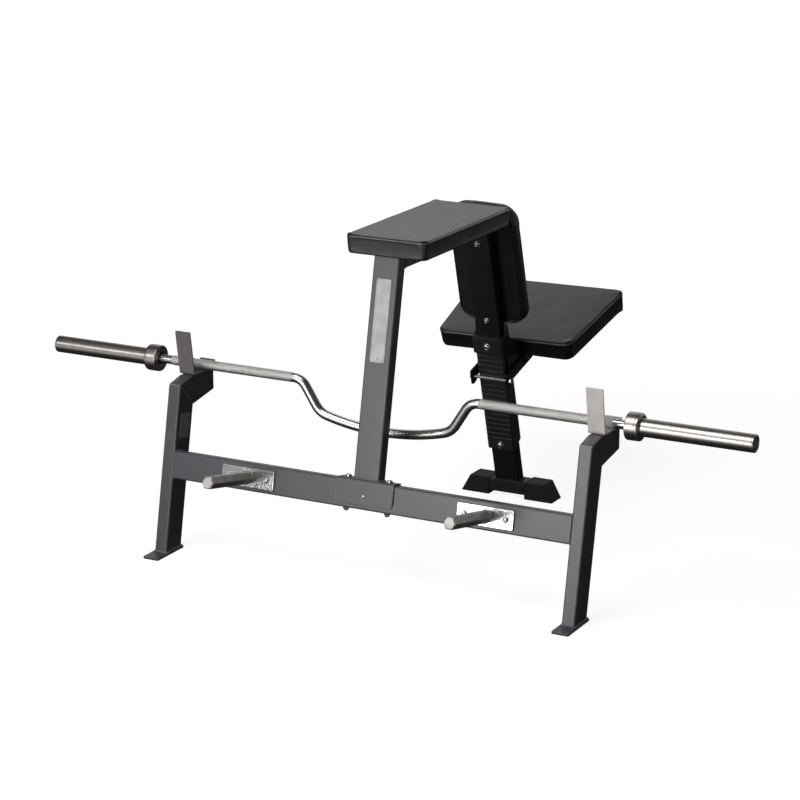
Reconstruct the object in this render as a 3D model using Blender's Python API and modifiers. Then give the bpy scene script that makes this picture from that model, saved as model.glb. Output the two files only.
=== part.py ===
"""Seal row bench: a high chest bench on a leaning steel frame, with bar rests, plate storage,
a knee pad that slides on a ribbed post, and a cambered barbell lying in the rests.

Metres, +Z up. +Y runs from the front frame to the knee pad. The origin lies on the floor,
under the middle of the whole part.
"""

import math

import bmesh
import bpy
from mathutils import Matrix, Vector

# Clearances, and how far a cutter passes the faces that it opens
GAP = 0.0003
HOLE_PLAY = 0.0004
CUT_OVER = 0.008

# Front frame: two leaning uprights joined by a cross beam, all 80 x 40 tube
FRONT_LEAN = math.radians(11.4)
TUBE_WIDE = 0.080
TUBE_SLIM = 0.040
TUBE_WALL = 0.003
TUBE_CORNER = 0.005
UPRIGHT_X = 0.6468
UPRIGHT_TOP = 0.4965
BEAM_LOW = 0.2267
FOOT_PLATE_WIDE = 0.050
FOOT_PLATE_THICK = 0.008
FOOT_PLATE_FRONT = -0.051
FOOT_PLATE_TAIL = 0.005

# Heads: the short arms welded on top of the uprights, measured from the floor
HEAD_TOP = 0.4995
HEAD_LEVEL_START = 0.155
HEAD_BACK = 0.279
HEAD_BACK_LOW = 0.4333
MITRE_DROP = 0.0575

# Bar rests: bent plates on the heads
REST_THICK = 0.005
REST_WIDE = 0.050
REST_BACK = 0.280
REST_FLOOR = 0.112
REST_LIP = 0.0235
REST_GUARD = 0.131
REST_FLARE = math.radians(9.0)
REST_BEND = 0.008

# Plate storage on the cross beam
STORAGE_X = 0.375
STORAGE_W = 0.2663
STORAGE_WIDE = 0.170
STORAGE_HIGH = 0.0545
STORAGE_THICK = 0.006
STORAGE_CORNER = 0.002
STORAGE_BOLT_REACH = 0.0625
PEG_FLATS = 0.033
PEG_LENGTH = 0.217

# Column, its saddle over the cross beam, and the top beam
SADDLE_WIDE = 0.180
SADDLE_LOW = 0.244
SADDLE_THICK = 0.005
SADDLE_CORNER = 0.010
SADDLE_BOLT_X = 0.065
SADDLE_SCREW_W = 0.2666
TOP_LEVEL = 0.914
TOP_BEAM_HIGH = 0.035

# Rear post, its rubber footed cross tube and the ribbed sleeve on it
POST_LEAN = math.radians(15.67)
POST_FOOT_Y = 0.9788
FOOT_TUBE_DEEP = 0.065
FOOT_TUBE_LOW = 0.012
FOOT_TUBE_HIGH = 0.040
FOOT_TUBE_REACH = 0.120
CAP_WALL = 0.0025
CAP_INNER = 0.060
CAP_TOP_REACH = 0.125
CAP_FLOOR_REACH = 0.155
CAP_CORNER = 0.002
SLEEVE_LOW = 0.173
SLEEVE_TOP = 0.564
SLEEVE_WALL = 0.0047
SLEEVE_FLANGE = 0.041
SLEEVE_SKEW = 0.017
RIB_CREST = -0.012
RIB_ROOT = -0.006
RIB_START = 0.222
RIB_PITCH = 0.0169
RIB_COUNT = 17
RIB_CREST_WIDE = 0.0078
RIB_ROOT_WIDE = 0.0115
RIB_BORDER = 0.003
RIB_SINK = 0.002
RACK_BOLT_W = 0.187

# Pads: a board recessed in the underside of a cushion
BOARD_THICK = 0.0117
BOARD_INSET = 0.012
BOARD_BITE = 0.75
PAD_HEM = (0.018, 0.004, 0.0005)
CROWN_REACH = (0.022, 0.055)
CHEST_WIDE = 0.254
CHEST_FRONT = 0.173
CHEST_POST_CLEAR = 0.0094
CHEST_BACK = POST_FOOT_Y - TOP_LEVEL * math.tan(POST_LEAN) - CHEST_POST_CLEAR
CHEST_THICK = 0.059
CHEST_CORNER = 0.021
CHEST_ROLL = 0.009
CHEST_CROWN = 0.003
CHEST_DRAW_IN = 0.0035
THIGH_WIDE = 0.220
THIGH_LOW = 0.590
THIGH_TOP = 0.970
THIGH_THICK = 0.0545
THIGH_CORNER = 0.045
THIGH_ROLL = 0.024
THIGH_CROWN = 0.004
THIGH_DRAW_IN = 0.002
THIGH_BOLTS = (0.617, 0.874)
KNEE_BASE = 0.459
KNEE_FRONT = 0.084
KNEE_LENGTH = 0.363
KNEE_FRONT_HALF = 0.222
KNEE_BACK_HALF = 0.253
KNEE_THICK = 0.060
KNEE_CORNER = 0.032
KNEE_ROLL = 0.009
KNEE_CROWN = 0.003
KNEE_DRAW_IN = 0.003

# Knee pad carriage: one bent plate round the post, a seat plate and a guide block.
# Its heights, and the latch's, are set from the knee pad's base.
CARRIAGE_INNER = 0.046
CARRIAGE_THICK = 0.005
CARRIAGE_FRONT = -0.018
CARRIAGE_BEND = 0.008
CARRIAGE_BACK = 0.300
STRAP_LOW = KNEE_BASE + 0.052
STRAP_TOP = KNEE_BASE + 0.099
WING_TOP = KNEE_BASE + 0.142
WING_LOW = KNEE_BASE - 0.034
CHEEK_FRONT = 0.012
CHEEK_CLEAR = 0.004
CHEEK_TOP = KNEE_BASE + 0.047
WING_WAIST = (0.050, KNEE_BASE + 0.064)
WING_REAR = (0.036, KNEE_BASE + 0.087)
WING_TIP = (0.031, KNEE_BASE + 0.139)
WING_CREST = (0.022, WING_TOP)
WING_FRONT = (0.017, KNEE_BASE + 0.112)
ARM_LEVEL_END = 0.100
ARM_END_HIGH = 0.014
SEAT_PLATE_THICK = 0.005
SEAT_PLATE_LEAD = 0.002
GUIDE_FRONT = 0.0415
GUIDE_BACK = 0.062
GUIDE_LOW = KNEE_BASE - 0.030
GUIDE_TOP = KNEE_BASE - 0.009
GUIDE_CORNER = 0.003
CARRIAGE_BOLT_W = KNEE_BASE + 0.0765

# Latch bail under the knee pad
LATCH_INNER = 0.056
LATCH_ARM_THICK = 0.006
LATCH_FRONT = -0.032
LATCH_BACK = 0.150
LATCH_NOSE_BACK = -0.008
LATCH_NECK = 0.010
LATCH_CORNER = 0.006
LATCH_PIVOT_N = 0.100
LATCH_PIVOT_DROP = 0.021
LATCH_PIVOT_W = KNEE_BASE - LATCH_PIVOT_DROP
LATCH_PIVOT_RADIUS = 0.005
LATCH_LOW = LATCH_PIVOT_W - 0.017
LATCH_TOP = LATCH_PIVOT_W + 0.015
LATCH_NOSE = LATCH_PIVOT_W - 0.032
LATCH_ROD_N = -0.0185
LATCH_ROD_W = LATCH_PIVOT_W - 0.0095
LATCH_ROD_RADIUS = 0.005
LATCH_NUT_LONG = 0.008

# Fasteners
BOLT_RADIUS = 0.005
SMALL_HEAD_RADIUS = 0.0085
LARGE_HEAD_RADIUS = 0.0118
HEAD_HIGH = 0.0058
NUT_HIGH = 0.010
THREAD_REACH = 0.008
SCREW_RADIUS = 0.003
SCREW_HEAD_RADIUS = 0.0051
SCREW_LONG = 0.012
TURN_STEPS = 12
ROUND_STEPS = 24

# Plain plates in the places of badge and label
NAME_PLATE_LOW = 0.640
NAME_PLATE_HIGH = 0.232
NAME_PLATE_WIDE = 0.046
NAME_PLATE_THICK = 0.0015
NAME_PLATE_CORNER = 0.006
LABEL_LOW = 0.343
LABEL_HIGH = 0.073
LABEL_FRONT = 0.015
LABEL_DEEP = 0.050
LABEL_THICK = 0.001
LABEL_CORNER = 0.003

# Barbell
BAR_SHIFT = -0.030
BAR_Y = 0.227
SHAFT_RADIUS = 0.014
CAMBER_DEPTH = 0.123
LOW_RADIUS = 0.735
LOW_ANGLE = math.radians(14.7)
LOWER_BEND = 0.062
UPPER_BEND = 0.047
LEG_ANGLE = math.radians(57.6)
COLLAR_START = 0.744
COLLAR_LONG = 0.040
COLLAR_RADIUS = 0.0388
COLLAR_BEVEL = 0.0015
LOAD_LONG = 0.323
LOAD_RADIUS = 0.025
LOAD_BORE = 0.0172
BUSH_LONG = 0.040
END_CAP_THICK = 0.006
END_CAP_PLUG = 0.010
SHAFT_END_PLAY = 0.004
SHAFT_SIDES = 5

# Axes of the planes that flat outlines are drawn in
PLAN = Matrix.Identity(4)
FRONT = Matrix.Rotation(math.radians(90), 4, "X")
SIDE = Matrix.Rotation(math.radians(90), 4, "Z") @ Matrix.Rotation(math.radians(90), 4, "X")

# Turn of a fastener whose head faces the front
FACING = (math.radians(90), 0, 0)


def clear_scene():
    for obj in list(bpy.data.objects):
        bpy.data.objects.remove(obj, do_unlink=True)


def make_collection(name):
    collection = bpy.data.collections.new(name)
    bpy.context.scene.collection.children.link(collection)
    return collection


def make_material(name, colour, roughness, metallic):
    material = bpy.data.materials.new(name)
    material.use_nodes = True
    shader = material.node_tree.nodes["Principled BSDF"]
    shader.inputs["Base Color"].default_value = (*colour, 1.0)
    shader.inputs["Roughness"].default_value = roughness
    shader.inputs["Metallic"].default_value = metallic
    return material


def make_empty(name, parent=None, location=(0, 0, 0), rotation=(0, 0, 0)):
    empty = bpy.data.objects.new(name, None)
    empty.empty_display_size = 0.1
    empty.parent = parent
    empty.location = location
    empty.rotation_euler = rotation
    PARTS.objects.link(empty)
    return empty


def place(obj, parent, location, rotation=(0, 0, 0), material=None):
    """Puts a finished object under its parent, with one material."""
    obj.parent = parent
    obj.location = location
    obj.rotation_euler = rotation
    if material:
        obj.data.materials.clear()
        obj.data.materials.append(material)
    return obj


def as_mesh(source, turn=PLAN):
    """A mesh object with the evaluated shape of source, welded and facing out; source is removed."""
    PARTS.objects.link(source)
    graph = bpy.context.evaluated_depsgraph_get()
    mesh = bpy.data.meshes.new_from_object(source.evaluated_get(graph))
    name = source.name
    bpy.data.objects.remove(source, do_unlink=True)
    mesh.transform(turn)
    work = bmesh.new()
    work.from_mesh(mesh)
    bmesh.ops.remove_doubles(work, verts=work.verts, dist=0.00001)
    bmesh.ops.recalc_face_normals(work, faces=work.faces)
    work.to_mesh(mesh)
    work.free()
    mesh.shade_smooth()
    mesh.set_sharp_from_angle(angle=math.radians(35))
    obj = bpy.data.objects.new(name, mesh)
    PARTS.objects.link(obj)
    return obj


def fillet(corners, radius, closed=True, steps=4):
    """Points along a path through the corners, each corner rounded to the radius."""
    corners = [Vector(corner) for corner in corners]
    points = []
    for index, corner in enumerate(corners):
        end = index in (0, len(corners) - 1)
        if radius <= 0 or (end and not closed):
            points.append(corner)
            continue
        before = (corners[index - 1] - corner).normalized()
        after = (corners[(index + 1) % len(corners)] - corner).normalized()
        half = before.angle(after) / 2
        centre = corner + (before + after).normalized() * radius / math.sin(half)
        start = corner + before * radius / math.tan(half) - centre
        stop = corner + after * radius / math.tan(half) - centre
        sense = 1 if start.cross(stop) > 0 else -1
        for step in range(steps + 1):
            angle = sense * start.angle(stop) * step / steps
            points.append(centre + Matrix.Rotation(angle, 2) @ start)
    return points


def inset(corners, distances):
    """The corners of a convex outline, listed anticlockwise, with each side moved inwards."""
    corners = [Vector(corner) for corner in corners]
    count = len(corners)
    lines = []
    for index, corner in enumerate(corners):
        along = (corners[(index + 1) % count] - corner).normalized()
        inwards = Vector((-along.y, along.x))
        lines.append((corner + inwards * distances[index], along))
    moved = []
    for index in range(count):
        point, along = lines[index - 1]
        other, across = lines[index]
        share = (other - point).cross(across) / along.cross(across)
        moved.append(point + along * share)
    return moved


def rectangle(wide, high):
    return [(-wide / 2, -high / 2), (wide / 2, -high / 2), (wide / 2, high / 2), (-wide / 2, high / 2)]


def bent_strip(corners, thickness, bend):
    """Outline of a plate of even thickness bent along an open centre line."""
    line = fillet(corners, bend, closed=False)
    last = len(line) - 1
    left = []
    right = []
    for index, point in enumerate(line):
        along = (line[min(index + 1, last)] - line[max(index - 1, 0)]).normalized()
        across = Vector((-along.y, along.x)) * thickness / 2
        left.append(point + across)
        right.append(point - across)
    return left + right[::-1]


def extruded(name, outlines, thickness, turn=PLAN):
    """A flat solid: the first outline filled, with any others as holes through it."""
    curve = bpy.data.curves.new(name, "CURVE")
    curve.dimensions = "2D"
    curve.fill_mode = "BOTH"
    curve.extrude = thickness / 2
    for outline in outlines:
        spline = curve.splines.new("POLY")
        spline.points.add(len(outline) - 1)
        for point, (x, y) in zip(spline.points, outline):
            point.co = (x, y, 0, 1)
        spline.use_cyclic_u = True
    return as_mesh(bpy.data.objects.new(name, curve), turn)


def tube(name, wide, high, length, turn=PLAN, wall=TUBE_WALL):
    """A length of rectangular tube, open at both ends."""
    outer = fillet(rectangle(wide, high), TUBE_CORNER)
    inner = fillet(rectangle(wide - 2 * wall, high - 2 * wall), TUBE_CORNER - wall)
    return extruded(name, [outer, inner], length, turn)


def trim(obj, axis, lower=None, upper=None):
    """Slides the end points of a straight piece along the axis on to the surfaces that it meets."""
    middle = sum(vertex.co[axis] for vertex in obj.data.vertices) / len(obj.data.vertices)
    for vertex in obj.data.vertices:
        surface = upper if vertex.co[axis] > middle else lower
        if surface:
            vertex.co[axis] = surface(vertex.co)
    obj.data.update()


def turned(name, profile, closed=False, steps=TURN_STEPS, axis=PLAN):
    """A turned solid about Z: the profile of radius and height runs down its outer side."""
    mesh = bpy.data.meshes.new(name)
    count = len(profile)
    edges = [(index, (index + 1) % count) for index in range(count if closed else count - 1)]
    mesh.from_pydata([(radius, 0, height) for radius, height in profile], edges, [])
    obj = bpy.data.objects.new(name, mesh)
    screw = obj.modifiers.new("turn", "SCREW")
    screw.steps = steps
    screw.render_steps = steps
    screw.use_merge_vertices = True
    screw.merge_threshold = 0.00001
    return as_mesh(obj, axis)


def bolt_profile(head_radius, grip, nut_radius=0.0, shank=BOLT_RADIUS):
    """Button head above z = 0, shank down through the grip and, on a through bolt, a domed nut."""
    profile = [
        (0, HEAD_HIGH),
        (head_radius * 0.55, HEAD_HIGH * 0.93),
        (head_radius * 0.86, HEAD_HIGH * 0.60),
        (head_radius, HEAD_HIGH * 0.15),
        (head_radius, 0),
        (shank, 0),
        (shank, -grip),
    ]
    if nut_radius:
        profile += [
            (nut_radius, -grip),
            (nut_radius, -grip - NUT_HIGH * 0.5),
            (nut_radius * 0.72, -grip - NUT_HIGH * 0.6),
            (nut_radius * 0.5, -grip - NUT_HIGH * 0.93),
        ]
    profile.append((0, profile[-1][1] - (NUT_HIGH * 0.07 if nut_radius else 0)))
    return profile


def cut(target, cutter):
    """Takes the cutter's shape out of the target."""
    modifier = target.modifiers.new(cutter.name, "BOOLEAN")
    modifier.operation = "DIFFERENCE"
    modifier.object = cutter
    as_helper(cutter)


def join(target, other, operation="UNION"):
    """Joins the other shape to the target, or keeps only what both hold."""
    modifier = target.modifiers.new(other.name, "BOOLEAN")
    modifier.operation = operation
    modifier.object = other
    as_helper(other)


def as_helper(obj):
    if obj.name not in CUTTERS.objects:
        CUTTERS.objects.link(obj)
        PARTS.objects.unlink(obj)
    obj.hide_render = True
    obj.display_type = "WIRE"


def drill(targets, name, radius, length, parent, location, rotation=(0, 0, 0)):
    """One round hole through all the targets."""
    profile = [(0, length / 2), (radius, length / 2), (radius, -length / 2), (0, -length / 2)]
    cutter = place(turned(name, profile), parent, location, rotation)
    for target in targets:
        cut(target, cutter)


def level_on_front(height, n):
    """Distance up the leaning front frame where depth n reaches a height above the floor."""
    return (height + n * math.sin(FRONT_LEAN)) / math.cos(FRONT_LEAN)


def level_on_post(height, n):
    """Distance up the leaning rear post where depth n reaches a height above the floor."""
    return (height - n * math.sin(POST_LEAN)) / math.cos(POST_LEAN)


def front_point(w, n):
    """Depth and height, from the front frame's foot, of a point on the leaning frame."""
    sine = math.sin(FRONT_LEAN)
    cosine = math.cos(FRONT_LEAN)
    return (w * sine + n * cosine, w * cosine - n * sine)


def cushion(name, corners, corner, rings, parent, location, rotation=(0, 0, 0)):
    """An upholstered pad: rings of (inset, height) round the outline, crowned on top.

    The board's recess is cut in its flat underside."""
    work = bmesh.new()
    loops = []
    for distance, height in rings:
        outline = inset(corners, [distance] * len(corners))
        radius = max(corner - distance, corner * 0.35)
        points = fillet(outline, radius, steps=3)
        loops.append([work.verts.new((x, y, height)) for x, y in points])
    for lower, upper in zip(loops, loops[1:]):
        for index, vertex in enumerate(lower):
            work.faces.new((lower[index - 1], vertex, upper[index], upper[index - 1]))
    work.faces.new(loops[-1])
    work.faces.new(loops[0][::-1])
    bmesh.ops.recalc_face_normals(work, faces=work.faces)
    mesh = bpy.data.meshes.new(name)
    work.to_mesh(mesh)
    work.free()
    mesh.shade_smooth()
    obj = bpy.data.objects.new(name, mesh)
    PARTS.objects.link(obj)
    soften = obj.modifiers.new("soften", "SUBSURF")
    soften.levels = 1
    soften.render_levels = 1
    place(obj, parent, location, rotation, VINYL)
    depth = BOARD_THICK + 2 * GAP
    outline = fillet(inset(corners, [BOARD_INSET - GAP] * len(corners)), corner)
    cutter = extruded(name + "_recess", [outline], 2 * depth)
    place(cutter, parent, location, rotation)
    cut(obj, cutter)
    return obj


def pad_board(name, corners, corner, parent, location, rotation=(0, 0, 0)):
    outline = fillet(inset(corners, [BOARD_INSET] * len(corners)), corner)
    board = extruded(name, [outline], BOARD_THICK)
    board.data.transform(Matrix.Translation((0, 0, BOARD_THICK / 2 + GAP)))
    return place(board, parent, location, rotation, BOARD_BLACK)


def pad_rings(thickness, roll, crown, draw_in):
    """Rings from the underside, up the drawn-in side, over the rolled edge, to the crown."""
    edge = thickness - crown
    return [
        (PAD_HEM[0], 0.0),
        (PAD_HEM[1], 0.0),
        (PAD_HEM[2], PAD_HEM[1]),
        (draw_in, edge * 0.42),
        (0.0, edge - roll),
        (roll * 0.12, edge - roll * 0.55),
        (roll * 0.42, edge - roll * 0.15),
        (roll * 1.1, edge + crown * 0.25),
        (roll * 1.1 + CROWN_REACH[0], edge + crown * 0.75),
        (roll * 1.1 + CROWN_REACH[1], edge + crown),
    ]


def build_uprights(front, bench):
    """Feet, leaning uprights and the welded heads with their bar rests, left and right."""
    head_front = front_point(UPRIGHT_TOP, 0)
    head_rear = front_point(UPRIGHT_TOP - MITRE_DROP, TUBE_WIDE)
    head_corners = [
        head_front,
        head_rear,
        (HEAD_BACK, HEAD_BACK_LOW),
        (HEAD_BACK, HEAD_TOP),
        (HEAD_LEVEL_START, HEAD_TOP),
    ]
    hollow_corners = inset(head_corners, [-TUBE_WALL] + [TUBE_WALL] * 4)
    plate_back = front_point(level_on_front(FOOT_PLATE_THICK, TUBE_WIDE), TUBE_WIDE)[0] + FOOT_PLATE_TAIL
    plate_deep = plate_back - FOOT_PLATE_FRONT
    for side, sign in (("left", -1), ("right", 1)):
        x = sign * UPRIGHT_X
        upright = tube("upright_" + side, TUBE_SLIM, TUBE_WIDE, UPRIGHT_TOP)
        trim(
            upright,
            2,
            lambda point: level_on_front(FOOT_PLATE_THICK + GAP, point.y + TUBE_WIDE / 2),
            lambda point: UPRIGHT_TOP - GAP - MITRE_DROP * (point.y / TUBE_WIDE + 0.5),
        )
        place(upright, front, (x, TUBE_WIDE / 2, 0), material=FRAME_PAINT)
        head = extruded("head_" + side, [head_corners], TUBE_SLIM, SIDE)
        place(head, bench, (x, 0, 0), material=FRAME_PAINT)
        hollow = extruded("head_hollow_" + side, [hollow_corners], TUBE_SLIM - 2 * TUBE_WALL, SIDE)
        place(hollow, bench, (x, 0, 0))
        cut(head, hollow)
        plate = extruded("foot_plate_" + side, [rectangle(FOOT_PLATE_WIDE, plate_deep)], FOOT_PLATE_THICK)
        plate_y = (FOOT_PLATE_FRONT + plate_back) / 2
        place(plate, bench, (x, plate_y, FOOT_PLATE_THICK / 2), material=FRAME_PAINT)
        rest = extruded("bar_rest_" + side, [rest_outline()], REST_WIDE, SIDE)
        paint = REST_LIGHT if sign > 0 else REST_DARK
        place(rest, bench, (x, REST_BACK, HEAD_TOP + GAP), material=paint)


def rest_outline():
    """Side view of a bar rest: short rear lip, floor, and a tall guard that flares forwards."""
    half = REST_THICK / 2
    floor_front = -REST_FLOOR
    guard_top = (
        floor_front - REST_GUARD * math.tan(REST_FLARE),
        half + REST_GUARD,
    )
    line = [(-half, REST_LIP), (-half, half), (floor_front, half), guard_top]
    return bent_strip(line, REST_THICK, REST_BEND)


def build_cross_beam(front):
    length = 2 * (UPRIGHT_X - TUBE_SLIM / 2 - GAP)
    beam = tube("cross_beam", TUBE_SLIM, TUBE_WIDE, length, SIDE)
    place(beam, front, (0, TUBE_SLIM / 2, BEAM_LOW + TUBE_WIDE / 2), material=FRAME_PAINT)
    return beam


def build_storage(front, beam):
    """Two bolted plates with hexagonal pegs that hold spare weight plates."""
    grip = STORAGE_THICK + TUBE_WALL + THREAD_REACH
    face = -STORAGE_THICK - 2 * GAP
    for side, sign in (("left", -1), ("right", 1)):
        x = sign * STORAGE_X
        outline = fillet(rectangle(STORAGE_WIDE, STORAGE_HIGH), STORAGE_CORNER, steps=2)
        plate = extruded("storage_plate_" + side, [outline], STORAGE_THICK, FRONT)
        place(plate, front, (x, -GAP - STORAGE_THICK / 2, STORAGE_W), material=STAINLESS)
        corner = PEG_FLATS / math.sqrt(3)
        hexagon = [
            (corner * math.sin(math.radians(60 * k)), corner * math.cos(math.radians(60 * k)))
            for k in range(6)
        ]
        peg = extruded("storage_peg_" + side, [hexagon], PEG_LENGTH, FRONT)
        place(peg, front, (x, face - PEG_LENGTH / 2, STORAGE_W), material=STAINLESS)
        for end, reach in (("a", -STORAGE_BOLT_REACH), ("b", STORAGE_BOLT_REACH)):
            name = "storage_bolt_" + side + "_" + end
            bolt = turned(name, bolt_profile(SMALL_HEAD_RADIUS, grip))
            place(bolt, front, (x + reach, face, STORAGE_W), FACING, ZINC)
            drill(
                [plate, beam],
                name + "_hole",
                BOLT_RADIUS + HOLE_PLAY,
                STORAGE_THICK + TUBE_WALL + 2 * CUT_OVER,
                front,
                (x + reach, (TUBE_WALL - STORAGE_THICK) / 2, STORAGE_W),
                FACING,
            )


def build_saddle(front, beam):
    """The bent plate over the cross beam that carries the column, with its bolts."""
    beam_top = BEAM_LOW + TUBE_WIDE
    top = beam_top + GAP + SADDLE_THICK
    flange_high = top - SADDLE_LOW
    half = SADDLE_WIDE / 2
    flange = [(-half, flange_high), (-half, 0), (half, 0), (half, flange_high)]
    saddle = extruded("column_saddle", [fillet(flange, SADDLE_CORNER, closed=False)], SADDLE_THICK, FRONT)
    place(saddle, front, (0, -GAP - SADDLE_THICK / 2, SADDLE_LOW), material=FRAME_PAINT)
    deck = extruded("saddle_deck", [rectangle(SADDLE_WIDE, TUBE_SLIM + 2 * GAP)], SADDLE_THICK)
    place(deck, front, (0, TUBE_SLIM / 2 - GAP, top - SADDLE_THICK / 2))
    join(saddle, deck)
    grip = top - BEAM_LOW + 2 * GAP
    for side, sign in (("left", -1), ("right", 1)):
        spot = (sign * SADDLE_BOLT_X, TUBE_SLIM / 2, top + GAP)
        bolt = turned("saddle_bolt_" + side, bolt_profile(SMALL_HEAD_RADIUS, grip, SMALL_HEAD_RADIUS))
        place(bolt, front, spot, material=ZINC)
        drill(
            [saddle, beam],
            "saddle_hole_" + side,
            BOLT_RADIUS + HOLE_PLAY,
            top - BEAM_LOW + 2 * CUT_OVER,
            front,
            (spot[0], spot[1], (top + BEAM_LOW) / 2),
        )
    screw = turned("saddle_screw", bolt_profile(SCREW_HEAD_RADIUS, SCREW_LONG, shank=SCREW_RADIUS))
    place(screw, front, (0, -SADDLE_THICK - 2 * GAP, SADDLE_SCREW_W), FACING, ZINC)
    drill(
        [saddle, beam],
        "saddle_screw_hole",
        SCREW_RADIUS + HOLE_PLAY,
        SADDLE_THICK + TUBE_WALL + 2 * CUT_OVER,
        front,
        (0, (TUBE_WALL - SADDLE_THICK) / 2, SADDLE_SCREW_W),
        FACING,
    )
    return top


def build_column(front, bench, saddle_top):
    """The column, and the beam under the chest pad that runs back to the rear post."""
    column = tube("column", TUBE_WIDE, TUBE_SLIM, TOP_LEVEL)
    trim(
        column,
        2,
        lambda point: saddle_top + GAP,
        lambda point: level_on_front(TOP_LEVEL, point.y + TUBE_SLIM / 2),
    )
    place(column, front, (0, TUBE_SLIM / 2, 0), material=FRAME_PAINT)
    plate_outline = fillet(rectangle(NAME_PLATE_WIDE, NAME_PLATE_HIGH), NAME_PLATE_CORNER, steps=3)
    plate = extruded("name_plate", [plate_outline], NAME_PLATE_THICK, FRONT)
    spot = (0, -GAP - NAME_PLATE_THICK / 2, NAME_PLATE_LOW + NAME_PLATE_HIGH / 2)
    place(plate, front, spot, material=STAINLESS)
    beam = tube("top_beam", TUBE_WIDE, TOP_BEAM_HIGH, CHEST_BACK - CHEST_FRONT, FRONT)
    beam_z = TOP_LEVEL - TOP_BEAM_HIGH / 2

    def column_rear(point):
        height = point.z + beam_z
        return front_point(level_on_front(height, TUBE_SLIM), TUBE_SLIM)[0] + GAP

    def post_front(point):
        return POST_FOOT_Y - (point.z + beam_z) * math.tan(POST_LEAN) - GAP

    trim(beam, 1, column_rear, post_front)
    place(beam, bench, (0, 0, beam_z), material=FRAME_PAINT)


def build_label(front):
    """A bare plate on the inner side of the left upright."""
    outline = fillet(rectangle(LABEL_DEEP, LABEL_HIGH), LABEL_CORNER, steps=2)
    plate = extruded("label_plate", [outline], LABEL_THICK, SIDE)
    x = -UPRIGHT_X + TUBE_SLIM / 2 + GAP + LABEL_THICK / 2
    place(plate, front, (x, LABEL_FRONT + LABEL_DEEP / 2, LABEL_LOW + LABEL_HIGH / 2), material=STAINLESS)


def build_chest_pad(bench):
    middle = (CHEST_FRONT + CHEST_BACK) / 2
    corners = rectangle(CHEST_WIDE, CHEST_BACK - CHEST_FRONT)
    spot = (0, middle, TOP_LEVEL + GAP)
    rings = pad_rings(CHEST_THICK, CHEST_ROLL, CHEST_CROWN, CHEST_DRAW_IN)
    cushion("chest_pad", corners, CHEST_CORNER, rings, bench, spot)
    pad_board("chest_pad_board", corners, CHEST_CORNER, bench, spot)


def build_rear_foot(bench):
    """The cross tube under the post, with a rubber shoe on each end."""
    front_y = POST_FOOT_Y - (FOOT_TUBE_LOW + FOOT_TUBE_HIGH) * math.tan(POST_LEAN)
    middle_y = front_y + FOOT_TUBE_DEEP / 2
    middle_z = FOOT_TUBE_LOW + FOOT_TUBE_HIGH / 2
    foot = tube("rear_foot_tube", FOOT_TUBE_DEEP, FOOT_TUBE_HIGH, 2 * FOOT_TUBE_REACH, SIDE)
    place(foot, bench, (0, middle_y, middle_z), material=POST_PAINT)
    top = FOOT_TUBE_LOW + FOOT_TUBE_HIGH + GAP + CAP_WALL
    deep = FOOT_TUBE_DEEP + 2 * (GAP + CAP_WALL)
    for side, sign in (("left", -1), ("right", 1)):
        outline = fillet(
            [
                (sign * CAP_INNER, 0),
                (sign * CAP_FLOOR_REACH, 0),
                (sign * CAP_TOP_REACH, top),
                (sign * CAP_INNER, top),
            ],
            CAP_CORNER,
            steps=2,
        )
        cap = extruded("rear_foot_cap_" + side, [outline], deep, FRONT)
        place(cap, bench, (0, middle_y, 0), material=RUBBER)
        pocket_end = FOOT_TUBE_REACH + GAP
        pocket_start = CAP_INNER - CUT_OVER
        pocket = extruded(
            "cap_pocket_" + side,
            [rectangle(pocket_end - pocket_start, FOOT_TUBE_HIGH + 2 * GAP)],
            FOOT_TUBE_DEEP + 2 * GAP,
            FRONT,
        )
        place(pocket, bench, (sign * (pocket_start + pocket_end) / 2, middle_y, middle_z))
        cut(cap, pocket)
    return FOOT_TUBE_LOW + FOOT_TUBE_HIGH


def build_post(post, foot_top):
    """The leaning rear post, up to the level of the top beam."""
    tube_post = tube("rear_post", TUBE_WIDE, TUBE_SLIM, TOP_LEVEL)
    trim(
        tube_post,
        2,
        lambda point: level_on_post(foot_top + GAP, point.y + TUBE_SLIM / 2),
        lambda point: level_on_post(TOP_LEVEL, point.y + TUBE_SLIM / 2),
    )
    place(tube_post, post, (0, TUBE_SLIM / 2, 0), material=POST_PAINT)
    return tube_post


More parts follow.
